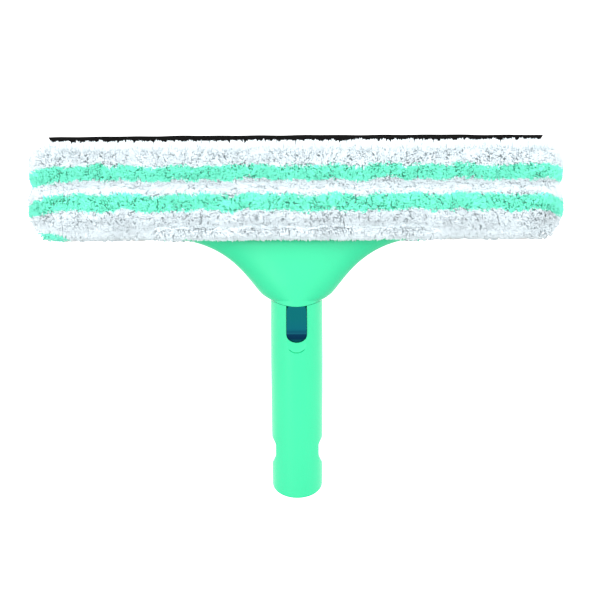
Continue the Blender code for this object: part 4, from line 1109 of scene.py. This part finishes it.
make_handle()
make_spigot()
make_neck("neck_front", -1, "neck_front_shell")
rear = make_neck("neck_rear", 1, "neck_rear_shell")
sink_screws(rear)
make_lever()
make_spring()
make_blade()
for label, side in (("front", -1), ("rear", 1)):
    pad = make_pad(f"sleeve_{label}", side, f"cover_{label}_panel")
    swell(pad, side)
    make_pile(pad, side, label, np.random.default_rng(41 + side))
    make_strip(f"slit_tape_{label}", f"top_binding_{label}", 2, (12, 120), 0.0, 0.12, (4.0, np.inf))
    for hand in ("left", "right"):
        make_strip(f"flap_{label}_{hand}", f"{label}_flap_{hand}", 1, (20, 40), 0.15, 0.08, (5.0, 3.0))
repaint(turquoise_plastic, "end_cap_left", "end_cap_right", "head_frame")
repaint(white_plastic, "latch_block")
repaint(aluminium, "blade_channel")
repaint(steel, "stud_", "neck_screw", "end_cap_screw", "lever_pin")


# -------------------------------- studio


WORLD_LIGHT = 1.9


def make_floor():
    """A plain pale disc well under the object."""
    floor_z = -150.0
    profile = [(0, 0), (300, 0), (600, 0), (606, -4)]
    disc = turned(profile, (0, 0, floor_z), 2, 96)
    floor = build("floor", disc.reshape(-1, 3), grid_faces(*disc.shape[:2], True), None)
    smooth(floor.data)
    made, tree, shader = paint("floor_paper", (0.55, 0.55, 0.55), 0.9, Specular_IOR_Level=0.0)
    grain = tint(tree, noise(tree, 300, 3), (0.545, 0.545, 0.545), (0.555, 0.555, 0.555))
    tree.links.new(grain, shader.inputs["Base Color"])
    floor.data.materials.append(made)


def make_light(name, place, aim, size, power):
    """A round soft light at a place, turned to its aim."""
    light = bpy.data.lights.new(name, "AREA")
    light.shape = "DISK"
    light.size = size
    light.energy = power
    lamp = put(name, light)
    lamp.location = place
    lamp.rotation_euler = (Vector(aim) - Vector(place)).to_track_quat("-Z", "Y").to_euler()


def make_camera():
    """A long lens straight in front, turned by a fraction of a degree."""
    lens = bpy.data.cameras.new("camera")
    distance, view_width = 1.6, 0.4
    lens.sensor_width = 36
    lens.lens = 36 * distance / view_width
    camera = put("camera", lens)
    camera.location = (0.0023, -distance, 0.131)
    camera.rotation_euler = Vector((0, 1, 0)).to_track_quat("-Z", "Y").to_euler()
    camera.rotation_euler.rotate_axis("Z", math.radians(-0.3))
    bpy.context.scene.camera = camera


def make_world():
    """White all round and above, falling off towards the ground."""
    world = bpy.data.worlds.new("studio")
    world.use_nodes = True
    tree = world.node_tree
    background = tree.nodes["Background"]
    background.inputs["Color"].default_value = (1, 1, 1, 1)
    strength = spread(tree, height_of(tree, "Generated"), -0.7, -0.15, 0.5, WORLD_LIGHT)
    tree.links.new(strength, background.inputs["Strength"])
    bpy.context.scene.world = world


make_floor()
make_world()
make_light("key", (0.45, -0.8, 1.5), (0, 0, 0.15), 1.2, 8.0)
make_light("fill", (-0.9, -1.2, 0.5), (0, 0, 0.12), 1.0, 3.0)
make_camera()
bpy.context.scene.view_settings.view_transform = "Standard"
